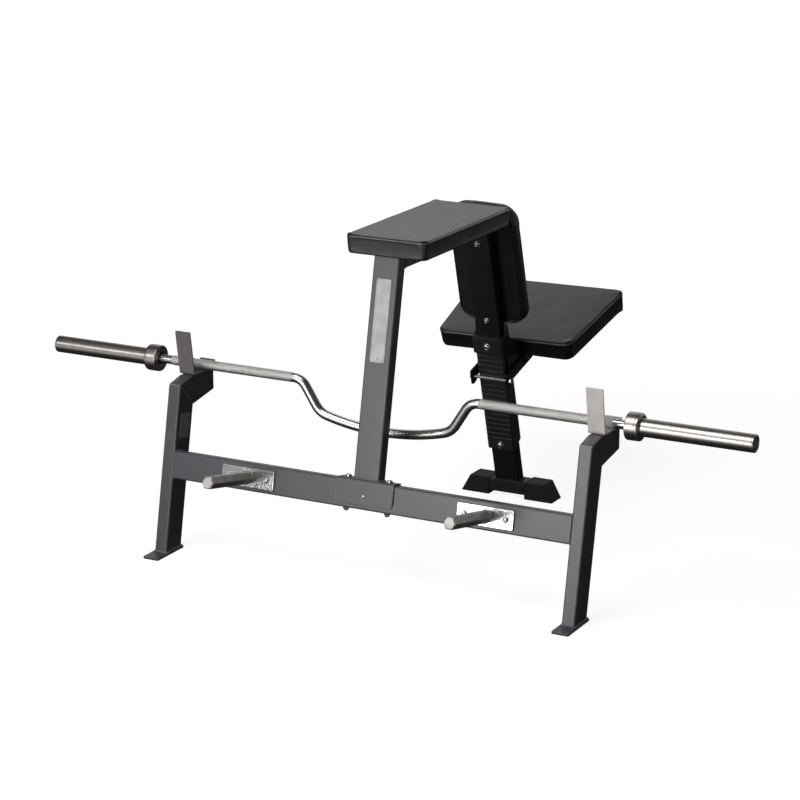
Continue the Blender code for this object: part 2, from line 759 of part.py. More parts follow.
def build_rack(post, tube_post):
    """The ribbed sleeve round the front and sides of the post, that the latch rod works against."""
    outer = TUBE_WIDE / 2 + GAP + SLEEVE_WALL
    inner = TUBE_WIDE / 2 + GAP
    section = [
        (-outer, RIB_ROOT),
        (outer, RIB_ROOT),
        (outer, SLEEVE_FLANGE),
        (inner, SLEEVE_FLANGE),
        (inner, -GAP),
        (-inner, -GAP),
        (-inner, SLEEVE_FLANGE),
        (-outer, SLEEVE_FLANGE),
    ]
    sleeve = extruded("rack_sleeve", [section], SLEEVE_TOP - SLEEVE_LOW)
    sleeve.data.transform(Matrix.Translation((0, 0, (SLEEVE_TOP + SLEEVE_LOW) / 2)))
    slope = SLEEVE_SKEW / SLEEVE_FLANGE
    trim(sleeve, 2, lambda point: SLEEVE_LOW + slope * max(point.y, 0))
    place(sleeve, post, (0, 0, 0), material=SLEEVE_BLACK)
    teeth = [(RIB_ROOT + RIB_SINK, SLEEVE_TOP), (RIB_CREST, SLEEVE_TOP)]
    flank = (RIB_ROOT_WIDE - RIB_CREST_WIDE) / 2
    ribs_end = RIB_START + RIB_COUNT * RIB_PITCH
    teeth.append((RIB_CREST, ribs_end + RIB_PITCH - RIB_ROOT_WIDE + flank))
    for index in reversed(range(RIB_COUNT + 1)):
        start = RIB_START + index * RIB_PITCH
        if index < RIB_COUNT:
            teeth.append((RIB_ROOT, start + RIB_ROOT_WIDE))
            teeth.append((RIB_CREST, start + RIB_ROOT_WIDE - flank))
            teeth.append((RIB_CREST, start + flank))
            teeth.append((RIB_ROOT, start))
        else:
            teeth.append((RIB_ROOT, start + RIB_PITCH - RIB_ROOT_WIDE))
    gap_low = RIB_START - (RIB_PITCH - RIB_ROOT_WIDE)
    teeth += [(RIB_ROOT, gap_low), (RIB_CREST, gap_low - flank), (RIB_CREST, SLEEVE_LOW)]
    teeth.append((RIB_ROOT + RIB_SINK, SLEEVE_LOW))
    ribs = extruded("rack_ribs", [teeth], 2 * (outer - RIB_BORDER), SIDE)
    place(ribs, post, (0, 0, 0))
    join(sleeve, ribs)
    bolt = turned("rack_bolt", bolt_profile(LARGE_HEAD_RADIUS, TUBE_WALL + THREAD_REACH - RIB_CREST))
    place(bolt, post, (0, RIB_CREST - GAP, RACK_BOLT_W), FACING, ZINC)
    drill(
        [sleeve, tube_post],
        "rack_bolt_hole",
        BOLT_RADIUS + HOLE_PLAY,
        2 * (CUT_OVER - RIB_CREST),
        post,
        (0, 0, RACK_BOLT_W),
        FACING,
    )


def build_thigh_pad(post, tube_post):
    """The upright pad behind the post, bolted through it."""
    lying = (math.radians(-90), 0, 0)
    corners = rectangle(THIGH_WIDE, THIGH_TOP - THIGH_LOW)
    spot = (0, TUBE_SLIM + GAP, (THIGH_LOW + THIGH_TOP) / 2)
    rings = pad_rings(THIGH_THICK, THIGH_ROLL, THIGH_CROWN, THIGH_DRAW_IN)
    cushion("thigh_pad", corners, THIGH_CORNER, rings, post, spot, lying)
    board = pad_board("thigh_pad_board", corners, THIGH_CORNER, post, spot, lying)
    grip = TUBE_SLIM + BOARD_THICK * BOARD_BITE
    for name, w in zip(("lower", "upper"), THIGH_BOLTS):
        bolt = turned("thigh_bolt_" + name, bolt_profile(SMALL_HEAD_RADIUS, grip))
        place(bolt, post, (0, -GAP, w), FACING, ZINC)
        drill(
            [tube_post, board],
            "thigh_hole_" + name,
            BOLT_RADIUS + HOLE_PLAY,
            grip + CUT_OVER + GAP,
            post,
            (0, (grip - CUT_OVER + GAP) / 2, w),
            FACING,
        )


def build_carriage(post):
    """The sliding bracket, its seat plate, guide block and bolt, and the knee pad on them."""
    carriage = make_empty("knee_carriage", post)
    middle = CARRIAGE_INNER + CARRIAGE_THICK / 2
    face = CARRIAGE_FRONT + CARRIAGE_THICK / 2
    line = [(-middle, CARRIAGE_BACK), (-middle, face), (middle, face), (middle, CARRIAGE_BACK)]
    seat_top = KNEE_BASE - GAP
    low = WING_LOW - CUT_OVER
    high = WING_TOP + CUT_OVER
    bracket = extruded("carriage_bracket", [bent_strip(line, CARRIAGE_THICK, CARRIAGE_BEND)], high - low)
    place(bracket, carriage, (0, 0, (low + high) / 2), material=POST_PAINT)
    strap_inner = CARRIAGE_FRONT + CARRIAGE_THICK + GAP
    strap_outer = CARRIAGE_FRONT - CUT_OVER
    cheek_back = KNEE_FRONT - CHEEK_CLEAR
    arm_back = CARRIAGE_BACK + CUT_OVER
    wing_side = [
        (strap_outer, STRAP_LOW),
        (strap_inner, STRAP_LOW),
        (CHEEK_FRONT, STRAP_LOW - CHEEK_FRONT),
        (CHEEK_FRONT, WING_LOW),
        (ARM_LEVEL_END, WING_LOW),
        (arm_back, seat_top - ARM_END_HIGH),
        (arm_back, seat_top),
        (cheek_back, seat_top),
        (cheek_back, CHEEK_TOP),
        WING_WAIST,
        WING_REAR,
        WING_TIP,
        WING_CREST,
        WING_FRONT,
        (strap_inner, STRAP_TOP),
        (strap_outer, STRAP_TOP),
    ]
    across = 2 * (CARRIAGE_INNER + CARRIAGE_THICK + CUT_OVER)
    shape = extruded("wing_shape", [wing_side], across, SIDE)
    place(shape, carriage, (0, 0, 0))
    join(bracket, shape, "INTERSECT")
    seat_wide = 2 * (CARRIAGE_INNER - GAP)
    seat_start = KNEE_FRONT - SEAT_PLATE_LEAD
    seat = extruded("seat_plate", [rectangle(seat_wide, CARRIAGE_BACK - seat_start)], SEAT_PLATE_THICK)
    seat_y = (CARRIAGE_BACK + seat_start) / 2
    place(seat, carriage, (0, seat_y, seat_top - SEAT_PLATE_THICK / 2), material=POST_PAINT)
    guide_side = fillet(rectangle(GUIDE_BACK - GUIDE_FRONT, GUIDE_TOP - GUIDE_LOW), GUIDE_CORNER, steps=2)
    guide = extruded("guide_block", [guide_side], seat_wide, SIDE)
    guide_spot = (0, (GUIDE_FRONT + GUIDE_BACK) / 2, (GUIDE_TOP + GUIDE_LOW) / 2)
    place(guide, carriage, guide_spot, material=SLEEVE_BLACK)
    bolt = turned("carriage_bolt", bolt_profile(LARGE_HEAD_RADIUS, CARRIAGE_THICK))
    place(bolt, carriage, (0, CARRIAGE_FRONT - GAP, CARRIAGE_BOLT_W), FACING, ZINC)
    drill(
        [bracket],
        "carriage_bolt_hole",
        BOLT_RADIUS + HOLE_PLAY,
        CARRIAGE_THICK + 2 * CUT_OVER,
        carriage,
        (0, face, CARRIAGE_BOLT_W),
        FACING,
    )
    half = KNEE_LENGTH / 2
    corners = [
        (-KNEE_FRONT_HALF, -half),
        (KNEE_FRONT_HALF, -half),
        (KNEE_BACK_HALF, half),
        (-KNEE_BACK_HALF, half),
    ]
    spot = (0, KNEE_FRONT + half, KNEE_BASE)
    rings = pad_rings(KNEE_THICK, KNEE_ROLL, KNEE_CROWN, KNEE_DRAW_IN)
    cushion("knee_pad", corners, KNEE_CORNER, rings, carriage, spot)
    pad_board("knee_pad_board", corners, KNEE_CORNER, carriage, spot)
    return carriage, bracket


def build_latch(carriage, bracket):
    """The bail: two arms on a pivot under the knee pad, and the rod across the ribs."""
    pivot_spot = (0, LATCH_PIVOT_N, LATCH_PIVOT_W)
    latch = make_empty("knee_latch", carriage, pivot_spot)
    rod_y = LATCH_ROD_N - LATCH_PIVOT_N
    rod_z = LATCH_ROD_W - LATCH_PIVOT_W
    arm_outline = fillet(
        [
            (LATCH_FRONT - LATCH_PIVOT_N, LATCH_TOP - LATCH_PIVOT_W),
            (LATCH_FRONT - LATCH_PIVOT_N, LATCH_NOSE - LATCH_PIVOT_W),
            (LATCH_NOSE_BACK - LATCH_PIVOT_N, LATCH_NOSE - LATCH_PIVOT_W),
            (LATCH_NECK - LATCH_PIVOT_N, LATCH_LOW - LATCH_PIVOT_W),
            (LATCH_BACK - LATCH_PIVOT_N, LATCH_LOW - LATCH_PIVOT_W),
            (LATCH_BACK - LATCH_PIVOT_N, LATCH_TOP - LATCH_PIVOT_W),
        ],
        LATCH_CORNER,
        steps=3,
    )
    across = (0, math.radians(90), 0)
    arms = []
    for side, sign in (("left", -1), ("right", 1)):
        arm = extruded("latch_arm_" + side, [arm_outline], LATCH_ARM_THICK, SIDE)
        place(arm, latch, (sign * (LATCH_INNER + LATCH_ARM_THICK / 2), 0, 0), material=POST_PAINT)
        arms.append(arm)
    outer = LATCH_INNER + LATCH_ARM_THICK
    grip = 2 * (outer + GAP)
    rod = turned("latch_rod", bolt_profile(SMALL_HEAD_RADIUS, grip + NUT_HIGH, shank=LATCH_ROD_RADIUS))
    facing_left = (0, math.radians(-90), 0)
    place(rod, latch, (-outer - GAP, rod_y, rod_z), facing_left, ZINC)
    nut_inner = LATCH_ROD_RADIUS + GAP
    nut_profile = [
        (nut_inner, LATCH_NUT_LONG),
        (SMALL_HEAD_RADIUS, LATCH_NUT_LONG),
        (SMALL_HEAD_RADIUS, 0),
        (nut_inner, 0),
    ]
    nut = turned("latch_nut", nut_profile, closed=True)
    place(nut, latch, (outer + GAP, rod_y, rod_z), across, ZINC)
    pin_profile = bolt_profile(SMALL_HEAD_RADIUS, grip, SMALL_HEAD_RADIUS, LATCH_PIVOT_RADIUS)
    pin = turned("latch_pivot", pin_profile)
    place(pin, carriage, (-outer - GAP, LATCH_PIVOT_N, LATCH_PIVOT_W), facing_left, ZINC)
    drill(
        [bracket],
        "pivot_hole_bracket",
        LATCH_PIVOT_RADIUS + HOLE_PLAY,
        2 * outer,
        carriage,
        pivot_spot,
        across,
    )
    for arm in arms:
        for hole, radius, spot in (
            ("_pivot_hole", LATCH_PIVOT_RADIUS, (0, 0, 0)),
            ("_rod_hole", LATCH_ROD_RADIUS, (0, rod_y, rod_z)),
        ):
            drill([arm], arm.name + hole, radius + HOLE_PLAY, 4 * outer, latch, spot, across)


def bar_path():
    """Half of the shaft's centre line, from the middle of the camber to the end in the load sleeve."""
    low_drop = LOW_RADIUS * (1 - math.cos(LOW_ANGLE))
    lower_drop = LOWER_BEND * (math.cos(LOW_ANGLE) - math.cos(LEG_ANGLE))
    upper_drop = UPPER_BEND * (1 - math.cos(LEG_ANGLE))
    leg = (CAMBER_DEPTH - low_drop - lower_drop - upper_drop) / math.sin(LEG_ANGLE)
    stretches = [
        (LOW_RADIUS * LOW_ANGLE, LOW_ANGLE, 8),
        (LOWER_BEND * (LEG_ANGLE - LOW_ANGLE), LEG_ANGLE - LOW_ANGLE, 6),
        (leg, 0, 1),
        (UPPER_BEND * LEG_ANGLE, -LEG_ANGLE, 7),
    ]
    x = 0.0
    z = -CAMBER_DEPTH
    heading = 0.0
    points = [(x, z)]
    for length, turn, steps in stretches:
        for _ in range(steps):
            middle = heading + turn / steps / 2
            chord = length / steps
            if turn:
                bend = abs(turn) / steps / 2
                chord *= math.sin(bend) / bend
            x += chord * math.cos(middle)
            z += chord * math.sin(middle)
            heading += turn / steps
            points.append((x, z))
    shaft_end = COLLAR_START + COLLAR_LONG + LOAD_LONG - END_CAP_THICK - END_CAP_PLUG - SHAFT_END_PLAY
    points.append((shaft_end, 0.0))
    return points


def build_bar(bench):
    """The cambered shaft in the rests, and on each end a turning load sleeve with its collar."""
    bar_z = HEAD_TOP + GAP + REST_THICK + GAP + SHAFT_RADIUS
    bar = make_empty("barbell", bench, (BAR_SHIFT, BAR_Y, bar_z))
    half = bar_path()
    line = [(-x, z) for x, z in half[:0:-1]] + half
    curve = bpy.data.curves.new("bar_shaft", "CURVE")
    curve.dimensions = "3D"
    curve.bevel_depth = SHAFT_RADIUS
    curve.bevel_resolution = SHAFT_SIDES
    curve.use_fill_caps = True
    spline = curve.splines.new("POLY")
    spline.points.add(len(line) - 1)
    for point, (x, z) in zip(spline.points, line):
        point.co = (x, 0, z, 1)
    shaft = as_mesh(bpy.data.objects.new("bar_shaft", curve))
    place(shaft, bar, (0, 0, 0), material=BAR_STEEL)
    reach = COLLAR_START + COLLAR_LONG + LOAD_LONG
    for side, sign in (("left", -1), ("right", 1)):
        sleeve_joint = make_empty("bar_sleeve_" + side, bar, (0, 0, 0), (0, sign * math.radians(90), 0))
        tube_end = reach - END_CAP_THICK - GAP
        load = turned(
            "load_sleeve_" + side,
            [
                (LOAD_BORE, tube_end),
                (LOAD_RADIUS, tube_end),
                (LOAD_RADIUS, COLLAR_START),
                (LOAD_BORE, COLLAR_START),
            ],
            closed=True,
            steps=ROUND_STEPS,
        )
        place(load, sleeve_joint, (0, 0, 0), material=SLEEVE_STEEL)
        collar_end = COLLAR_START + COLLAR_LONG
        collar = turned(
            "collar_" + side,
            [
                (LOAD_RADIUS + GAP, collar_end),
                (COLLAR_RADIUS - COLLAR_BEVEL, collar_end),
                (COLLAR_RADIUS, collar_end - COLLAR_BEVEL),
                (COLLAR_RADIUS, COLLAR_START + COLLAR_BEVEL),
                (COLLAR_RADIUS - COLLAR_BEVEL, COLLAR_START),
                (LOAD_RADIUS + GAP, COLLAR_START),
            ],
            closed=True,
            steps=ROUND_STEPS,
        )
        place(collar, sleeve_joint, (0, 0, 0), material=SLEEVE_STEEL)
        bush = turned(
            "sleeve_bush_" + side,
            [
                (SHAFT_RADIUS + GAP, COLLAR_START + BUSH_LONG),
                (LOAD_BORE - GAP, COLLAR_START + BUSH_LONG),
                (LOAD_BORE - GAP, COLLAR_START + GAP),
                (SHAFT_RADIUS + GAP, COLLAR_START + GAP),
            ],
            closed=True,
            steps=ROUND_STEPS,
        )
        place(bush, sleeve_joint, (0, 0, 0), material=BRONZE)
        plug_end = tube_end - END_CAP_PLUG
        cap = turned(
            "end_cap_" + side,
            [
                (0, reach),
                (LOAD_RADIUS - COLLAR_BEVEL, reach),
                (LOAD_RADIUS, reach - COLLAR_BEVEL),
                (LOAD_RADIUS, tube_end + GAP),
                (LOAD_BORE - GAP, tube_end + GAP),
                (LOAD_BORE - GAP, plug_end),
                (0, plug_end),
            ],
            steps=ROUND_STEPS,
        )
        place(cap, sleeve_joint, (0, 0, 0), material=SLEEVE_STEEL)


def centre_on_floor(bench):
    """Moves the bench so that the whole part is centred over the origin."""
    bpy.context.view_layer.update()
    graph = bpy.context.evaluated_depsgraph_get()
    corners = []
    for obj in PARTS.objects:
        if obj.type != "EMPTY":
            shape = obj.evaluated_get(graph)
            corners += [shape.matrix_world @ vertex.co for vertex in shape.data.vertices]
    for axis in (0, 1):
        values = [corner[axis] for corner in corners]
        bench.location[axis] = -(min(values) + max(values)) / 2


clear_scene()
PARTS = make_collection("seal_row_bench")
CUTTERS = make_collection("cutters")

FRAME_PAINT = make_material("frame_paint", (0.115, 0.115, 0.125), 0.45, 0.3)
POST_PAINT = make_material("post_paint", (0.030, 0.031, 0.035), 0.45, 0.2)
REST_LIGHT = make_material("rest_light", (0.46, 0.43, 0.41), 0.40, 0.6)
REST_DARK = make_material("rest_dark", (0.15, 0.14, 0.135), 0.40, 0.6)
STAINLESS = make_material("stainless", (0.62, 0.61, 0.59), 0.25, 1.0)
ZINC = make_material("zinc", (0.75, 0.76, 0.77), 0.30, 1.0)
BAR_STEEL = make_material("bar_steel", (0.60, 0.58, 0.56), 0.28, 1.0)
SLEEVE_STEEL = make_material("sleeve_steel", (0.42, 0.39, 0.37), 0.30, 1.0)
BRONZE = make_material("bronze", (0.50, 0.33, 0.15), 0.40, 1.0)
VINYL = make_material("vinyl", (0.020, 0.020, 0.022), 0.42, 0.0)
BOARD_BLACK = make_material("board_black", (0.030, 0.027, 0.025), 0.80, 0.0)
RUBBER = make_material("rubber", (0.022, 0.022, 0.024), 0.75, 0.0)
SLEEVE_BLACK = make_material("moulded_black", (0.028, 0.028, 0.030), 0.50, 0.0)


def main():
    bench = make_empty("bench")
    front = make_empty("front_frame", bench, (0, 0, 0), (-FRONT_LEAN, 0, 0))
    post = make_empty("post_frame", bench, (0, POST_FOOT_Y, 0), (POST_LEAN, 0, 0))
    build_uprights(front, bench)
    beam = build_cross_beam(front)
    build_storage(front, beam)
    saddle_top = build_saddle(front, beam)
    build_column(front, bench, saddle_top)
    build_label(front)
    build_chest_pad(bench)
    foot_top = build_rear_foot(bench)
    tube_post = build_post(post, foot_top)
    build_rack(post, tube_post)
    build_thigh_pad(post, tube_post)
    carriage, bracket = build_carriage(post)
    build_latch(carriage, bracket)
    build_bar(bench)
    centre_on_floor(bench)


main()
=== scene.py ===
"""Dressed model of a seal row bench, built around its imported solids.

Metres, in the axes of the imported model: +Z up, +X along the bar, +Y from the bar to the knee pad.
Each sub-assembly is a class that builds finer pieces in the places of its solids.
"""

import logging
import math
from dataclasses import dataclass, field
from enum import Enum
from functools import lru_cache
from typing import Callable, Sequence

import bmesh
import bpy
import numpy as np
from mathutils import Matrix, Vector, noise


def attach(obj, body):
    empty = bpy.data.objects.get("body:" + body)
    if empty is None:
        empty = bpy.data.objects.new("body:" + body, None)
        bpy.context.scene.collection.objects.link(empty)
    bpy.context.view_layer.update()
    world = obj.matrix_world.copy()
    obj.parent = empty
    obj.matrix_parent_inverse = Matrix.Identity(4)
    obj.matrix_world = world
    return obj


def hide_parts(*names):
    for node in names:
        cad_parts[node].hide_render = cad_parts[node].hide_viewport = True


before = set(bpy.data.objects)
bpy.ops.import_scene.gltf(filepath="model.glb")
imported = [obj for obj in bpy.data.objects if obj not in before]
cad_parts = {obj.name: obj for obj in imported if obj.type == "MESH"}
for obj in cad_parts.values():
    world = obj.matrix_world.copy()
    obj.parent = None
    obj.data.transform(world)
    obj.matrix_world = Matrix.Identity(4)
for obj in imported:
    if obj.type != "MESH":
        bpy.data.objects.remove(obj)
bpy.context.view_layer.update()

log = logging.getLogger("bench")

Point2 = tuple[float, float]
Level = float | Callable[[float, float], float]

FRONT_LEAN = math.radians(11.4)
POST_LEAN = math.radians(15.67)
BENCH = Matrix.Translation((0.030, -0.555848, 0.0))
FRONT = BENCH @ Matrix.Rotation(-FRONT_LEAN, 4, "X")
POST = BENCH @ Matrix.Translation((0, 0.9788, 0)) @ Matrix.Rotation(POST_LEAN, 4, "X")
BAR = Matrix.Translation((0, -0.328848, 0.5191))
FACING_FRONT = Matrix.Rotation(math.radians(90), 4, "X")
# The clearance between pieces, the frame tubes' corner and rim, and the sizes of button heads and nuts
GAP = 0.0003
TUBE_CORNER = 0.005
TUBE_RIM = 0.0003
SMALL_BUTTON = 0.0085
LARGE_BUTTON = 0.0118
LARGE_BUTTON_HIGH = 0.0066
NUT_HIGH = 0.0100
SAME = 1e-5


class Side(Enum):
    """The bench's left and right, with the sign of X there."""

    LEFT = -1
    RIGHT = 1

    @property
    def word(self) -> str:
        """The side as it stands in a piece's name."""
        return self.name.lower()

    @property
    def facing(self) -> Matrix:
        """A turn that points Z outwards on this side."""
        return Matrix.Rotation(math.radians(90) * self.value, 4, "Y")


# Shader maths


class Wire:
    """One output of a shader node; arithmetic on it adds Math nodes."""

    def __init__(self, tree: bpy.types.NodeTree, socket: bpy.types.NodeSocket) -> None:
        """Holds the socket and the tree that it is in."""
        self.tree = tree
        self.socket = socket

    def math(self, operation: str, *values: "Feed") -> "Wire":
        """Adds one Math node.

        Args:
            operation: the node's operation.
            values: what its inputs take, in order.

        Returns:
            The node's output.
        """
        node = self.tree.nodes.new("ShaderNodeMath")
        node.operation = operation
        for index, value in enumerate(values):
            feed(self.tree, node.inputs[index], value)
        return Wire(self.tree, node.outputs[0])

    def __add__(self, other: "Feed") -> "Wire":
        """Sum."""
        return self.math("ADD", self, other)

    __radd__ = __add__

    def __mul__(self, other: "Feed") -> "Wire":
        """Product."""
        return self.math("MULTIPLY", self, other)

    __rmul__ = __mul__

    def __sub__(self, other: "Feed") -> "Wire":
        """Difference."""
        return self.math("SUBTRACT", self, other)

    def __rsub__(self, other: "Feed") -> "Wire":
        """Difference from a number."""
        return self.math("SUBTRACT", other, self)

    def __abs__(self) -> "Wire":
        """Size without sign."""
        return self.math("ABSOLUTE", self)

    def __pow__(self, other: "Feed") -> "Wire":
        """Power."""
        return self.math("POWER", self, other)

    def sine(self) -> "Wire":
        """Sine of an angle in radians."""
        return self.math("SINE", self)

    def ramp(self, low: float, high: float) -> "Wire":
        """Adds a smooth step.

        Args:
            low: where it leaves 0.
            high: where it reaches 1.

        Returns:
            The step's output.
        """
        node = self.tree.nodes.new("ShaderNodeMapRange")
        node.interpolation_type = "SMOOTHSTEP"
        feed(self.tree, node.inputs[0], self)
        feed(self.tree, node.inputs[1], low)
        feed(self.tree, node.inputs[2], high)
        return Wire(self.tree, node.outputs[0])


Feed = Wire | float | tuple[float, ...]


def feed(tree: bpy.types.NodeTree, socket: bpy.types.NodeSocket, value: Feed) -> None:
    """Links a wire to an input, or sets the input's own value.

    Args:
        tree: the tree that the input is in.
        socket: the input.
        value: a wire, a number, or the parts of a colour or vector.
    """
    if isinstance(value, Wire):
        tree.links.new(value.socket, socket)
    elif isinstance(value, tuple) and socket.type == "RGBA":
        socket.default_value = (*value, 1.0)[:4]
    else:
        socket.default_value = value


class Graph:
    """The node tree of one material or world."""

    def __init__(self, tree: bpy.types.NodeTree) -> None:
        """Holds the tree."""
        self.tree = tree

    def node(self, kind: str, settings: dict | None = None, values: dict | None = None) -> bpy.types.Node:
        """Adds one node.

        Args:
            kind: the node's type, without its ShaderNode prefix.
            settings: the node's own properties.
            values: what its inputs take, by name or number.

        Returns:
            The node.
        """
        node = self.tree.nodes.new("ShaderNode" + kind)
        for name, value in (settings or {}).items():
            setattr(node, name, value)
        for name, value in (values or {}).items():
            feed(self.tree, node.inputs[name], value)
        return node

    def out(self, node: bpy.types.Node, output: int | str = 0) -> Wire:
        """An output of a node as a wire."""
        return Wire(self.tree, node.outputs[output])

    def place(self, stretch: tuple[float, float, float] = (1, 1, 1)) -> Wire:
        """Coordinates in metres that stay with the piece.

        Args:
            stretch: how often the pattern repeats along each axis, against its own scale.

        Returns:
            The coordinates.
        """
        here = self.out(self.node("TexCoord"), "Object")
        return self.out(self.node("Mapping", {"vector_type": "POINT"}, {"Vector": here, "Scale": stretch}))

    def noise(self, at: Wire, scale: float, detail: float = 2.0, roughness: float = 0.5) -> Wire:
        """Noise from 0 to 1 at a scale in repeats per metre."""
        values = {"Vector": at, "Scale": scale, "Detail": detail, "Roughness": roughness}
        return self.out(self.node("TexNoise", None, values), 0)

    def cells(self, at: Wire, scale: float) -> Wire:
        """Distance from the borders in a pattern of cells."""
        values = {"Vector": at, "Scale": scale}
        return self.out(self.node("TexVoronoi", {"feature": "DISTANCE_TO_EDGE"}, values), "Distance")

    def mix(self, share: Feed, first: Feed, second: Feed) -> Wire:
        """Blends two colours."""
        values = {0: share, 6: first, 7: second}
        return self.out(self.node("Mix", {"data_type": "RGBA"}, values), 2)

    def bump(self, height: Wire, depth: float, over: Wire | None = None) -> Wire:
        """A normal raised by a height from 0 to 1.

        Args:
            height: the pattern.
            depth: its real depth in metres.
            over: the normal that it adds to.

        Returns:
            The new normal.
        """
        values = {"Height": height, "Distance": depth, "Strength": 1.0}
        if over:
            values["Normal"] = over
        return self.out(self.node("Bump", None, values))


# Finishes


def shade(colour: tuple[float, ...], factor: float) -> tuple[float, ...]:
    """A colour made lighter or darker."""
    return tuple(min(1.0, part * factor) for part in colour)


@dataclass(frozen=True)
class Finish:
    """What every finish has: a name, the record's slot and the shader's constants."""

    name: str
    slot: str
    colour: tuple[float, float, float]
    roughness: float = 0.5
    metallic: float = 0.0
    specular: float = 0.5

    def dress(self, graph: Graph) -> tuple[Feed, Feed, Wire | None]:
        """Builds what varies over the surface.

        Args:
            graph: the material's node tree.

        Returns:
            Base colour, roughness and, where it has one, the normal.
        """
        raise NotImplementedError

    def constants(self) -> dict[str, Feed]:
        """The shader inputs that are the same all over."""
        return {"Metallic": self.metallic, "Specular IOR Level": self.specular}

    @lru_cache(maxsize=None)
    def material(self) -> bpy.types.Material:
        """Builds the material once.

        Returns:
            The material, ready for a piece's slot.
        """
        material = bpy.data.materials.new(self.name)
        material.use_nodes = True
        graph = Graph(material.node_tree)
        shader = material.node_tree.nodes["Principled BSDF"]
        for name, value in self.constants().items():
            feed(graph.tree, shader.inputs[name], value)
        colour, roughness, normal = self.dress(graph)
        feed(graph.tree, shader.inputs["Base Color"], colour)
        feed(graph.tree, shader.inputs["Roughness"], roughness)
        if normal:
            feed(graph.tree, shader.inputs["Normal"], normal)
        material.diffuse_color = (*self.colour, 1.0)
        return material


@dataclass(frozen=True)
class PowderCoat(Finish):
    """Baked powder paint: fine sandy texture, faint mottling, and lighter edges, partly rubbed wear and
    partly a painted highlight on the rounded corners.
    """

    grain: float = 0.00010
    worn: float = 2.0

    def dress(self, graph: Graph) -> tuple[Feed, Feed, Wire | None]:
        """Fine speckle, cloudy depth, and edges lightened partly as wear and partly as a painted highlight.

        Args:
            graph: the material's node tree.

        Returns:
            Base colour, roughness and normal.
        """
        at = graph.place()
        speck = graph.noise(at, 900, 2)
        cloud = graph.noise(at, 9, 3)
        bevel = graph.out(graph.node("Bevel", {"samples": 4}, {"Radius": 0.0016}))
        plain = graph.out(graph.node("NewGeometry"), "Normal")
        dot = graph.node("VectorMath", {"operation": "DOT_PRODUCT"}, {0: bevel, 1: plain})
        meet = graph.out(dot, "Value")
        # Edge mask: lightens the rounded corners, partly as rubbed wear and partly as a painted highlight
        # where corners catch light.
        edge = (1 - meet).ramp(0.01, 0.14) * (0.55 + 0.45 * graph.noise(at, 60, 3).ramp(0.35, 0.6))
        base = graph.mix(cloud.ramp(0.3, 0.7), shade(self.colour, 0.9), shade(self.colour, 1.1))
        base = graph.mix(speck.ramp(0.52, 0.75) * 0.4, base, shade(self.colour, 1.5))
        base = graph.mix(edge, base, shade(self.colour, self.worn))
        rough = self.roughness + 0.10 * (speck - 0.5) + 0.08 * (cloud - 0.5)
        return base, rough, graph.bump(speck, self.grain)


@dataclass(frozen=True)
class Vinyl(Finish):
    """Upholstery vinyl: pebbled leather grain, soft creases, a clear top coat."""

    def constants(self) -> dict[str, Feed]:
        """A thin, fairly rough coat over the grain."""
        return {**super().constants(), "Coat Weight": 0.12, "Coat Roughness": 0.3}

    def dress(self, graph: Graph) -> tuple[Feed, Feed, Wire | None]:
        """Pebbles with the creases between them painted darker as painted shade, over a wavy skin.

        Args:
            graph: the material's node tree.

        Returns:
            Base colour, roughness and normal.
        """
        at = graph.place()
        drift = graph.noise(at, 160, 2)
        pebble = graph.cells(at, 620).ramp(0.0, 0.22)
        skin = graph.noise(at, 34, 3)
        # Creases between pebbles painted darker as painted shade; the drift adds random tone.
        base = graph.mix(pebble * 0.7 + drift * 0.3, shade(self.colour, 0.55), shade(self.colour, 1.2))
        rough = self.roughness + 0.10 * (drift - 0.5) + 0.10 * (skin - 0.5) + 0.06 * (1 - pebble)
        normal = graph.bump(skin, 0.0006)
        return base, rough, graph.bump(pebble, 0.00007, normal)


@dataclass(frozen=True)
class Turned(Finish):
    """Steel turned or drawn about the bar's axis: fine rings, streaks and a few dull spots."""

    rings: float = 2600.0
    depth: float = 0.00002

    def dress(self, graph: Graph) -> tuple[Feed, Feed, Wire | None]:
        """Rings across the bar and slow changes of tone along it.

        Args:
            graph: the material's node tree.

        Returns:
            Base colour, roughness and normal.
        """
        ring = graph.noise(graph.place((1.0, 0.02, 0.02)), self.rings, 2)
        band = graph.noise(graph.place((1.0, 0.1, 0.1)), 110, 3)
        haze = graph.noise(graph.place(), 26, 4)
        base = graph.mix(band, shade(self.colour, 0.86), shade(self.colour, 1.12))
        base = graph.mix(haze.ramp(0.55, 0.8) * 0.5, base, shade(self.colour, 0.7))
        rough = self.roughness + 0.14 * (ring - 0.5) + 0.12 * (haze - 0.5)
        return base, rough, graph.bump(ring, self.depth)


@dataclass(frozen=True)
class Knurled(Finish):
    """Diamond knurling on the bar: two crossed spirals of grooves."""

    starts: int = 44
    pitch: float = 0.0020

    def dress(self, graph: Graph) -> tuple[Feed, Feed, Wire | None]:
        """Diamonds from the angle about the bar and the place along it, the grooves painted darker as painted
        shade and the tips lighter as painted highlight.

        Args:
            graph: the material's node tree.

        Returns:
            Base colour, roughness and normal.
        """
        here = graph.out(graph.node("TexCoord"), "Object")
        parts = graph.node("SeparateXYZ", None, {0: here})
        across = graph.out(parts, 1) - BAR.translation.y
        upwards = graph.out(parts, 2) - BAR.translation.z
        turn = across.math("ARCTAN2", upwards, across) * (self.starts / 2)
        along = graph.out(parts, 0) * (math.pi / self.pitch)
        diamond = abs((turn + along).sine()) * abs((turn - along).sine())
        tip = diamond.ramp(0.15, 0.75)
        haze = graph.noise(graph.place(), 40, 3)
        # Grooves painted darker as painted shade, tips lighter as painted highlight.
        base = graph.mix(tip, shade(self.colour, 0.62), shade(self.colour, 1.08))
        base = graph.mix(haze.ramp(0.5, 0.8) * 0.4, base, shade(self.colour, 0.82))
        return base, self.roughness + 0.10 * (haze - 0.5), graph.bump(diamond, 0.00035)


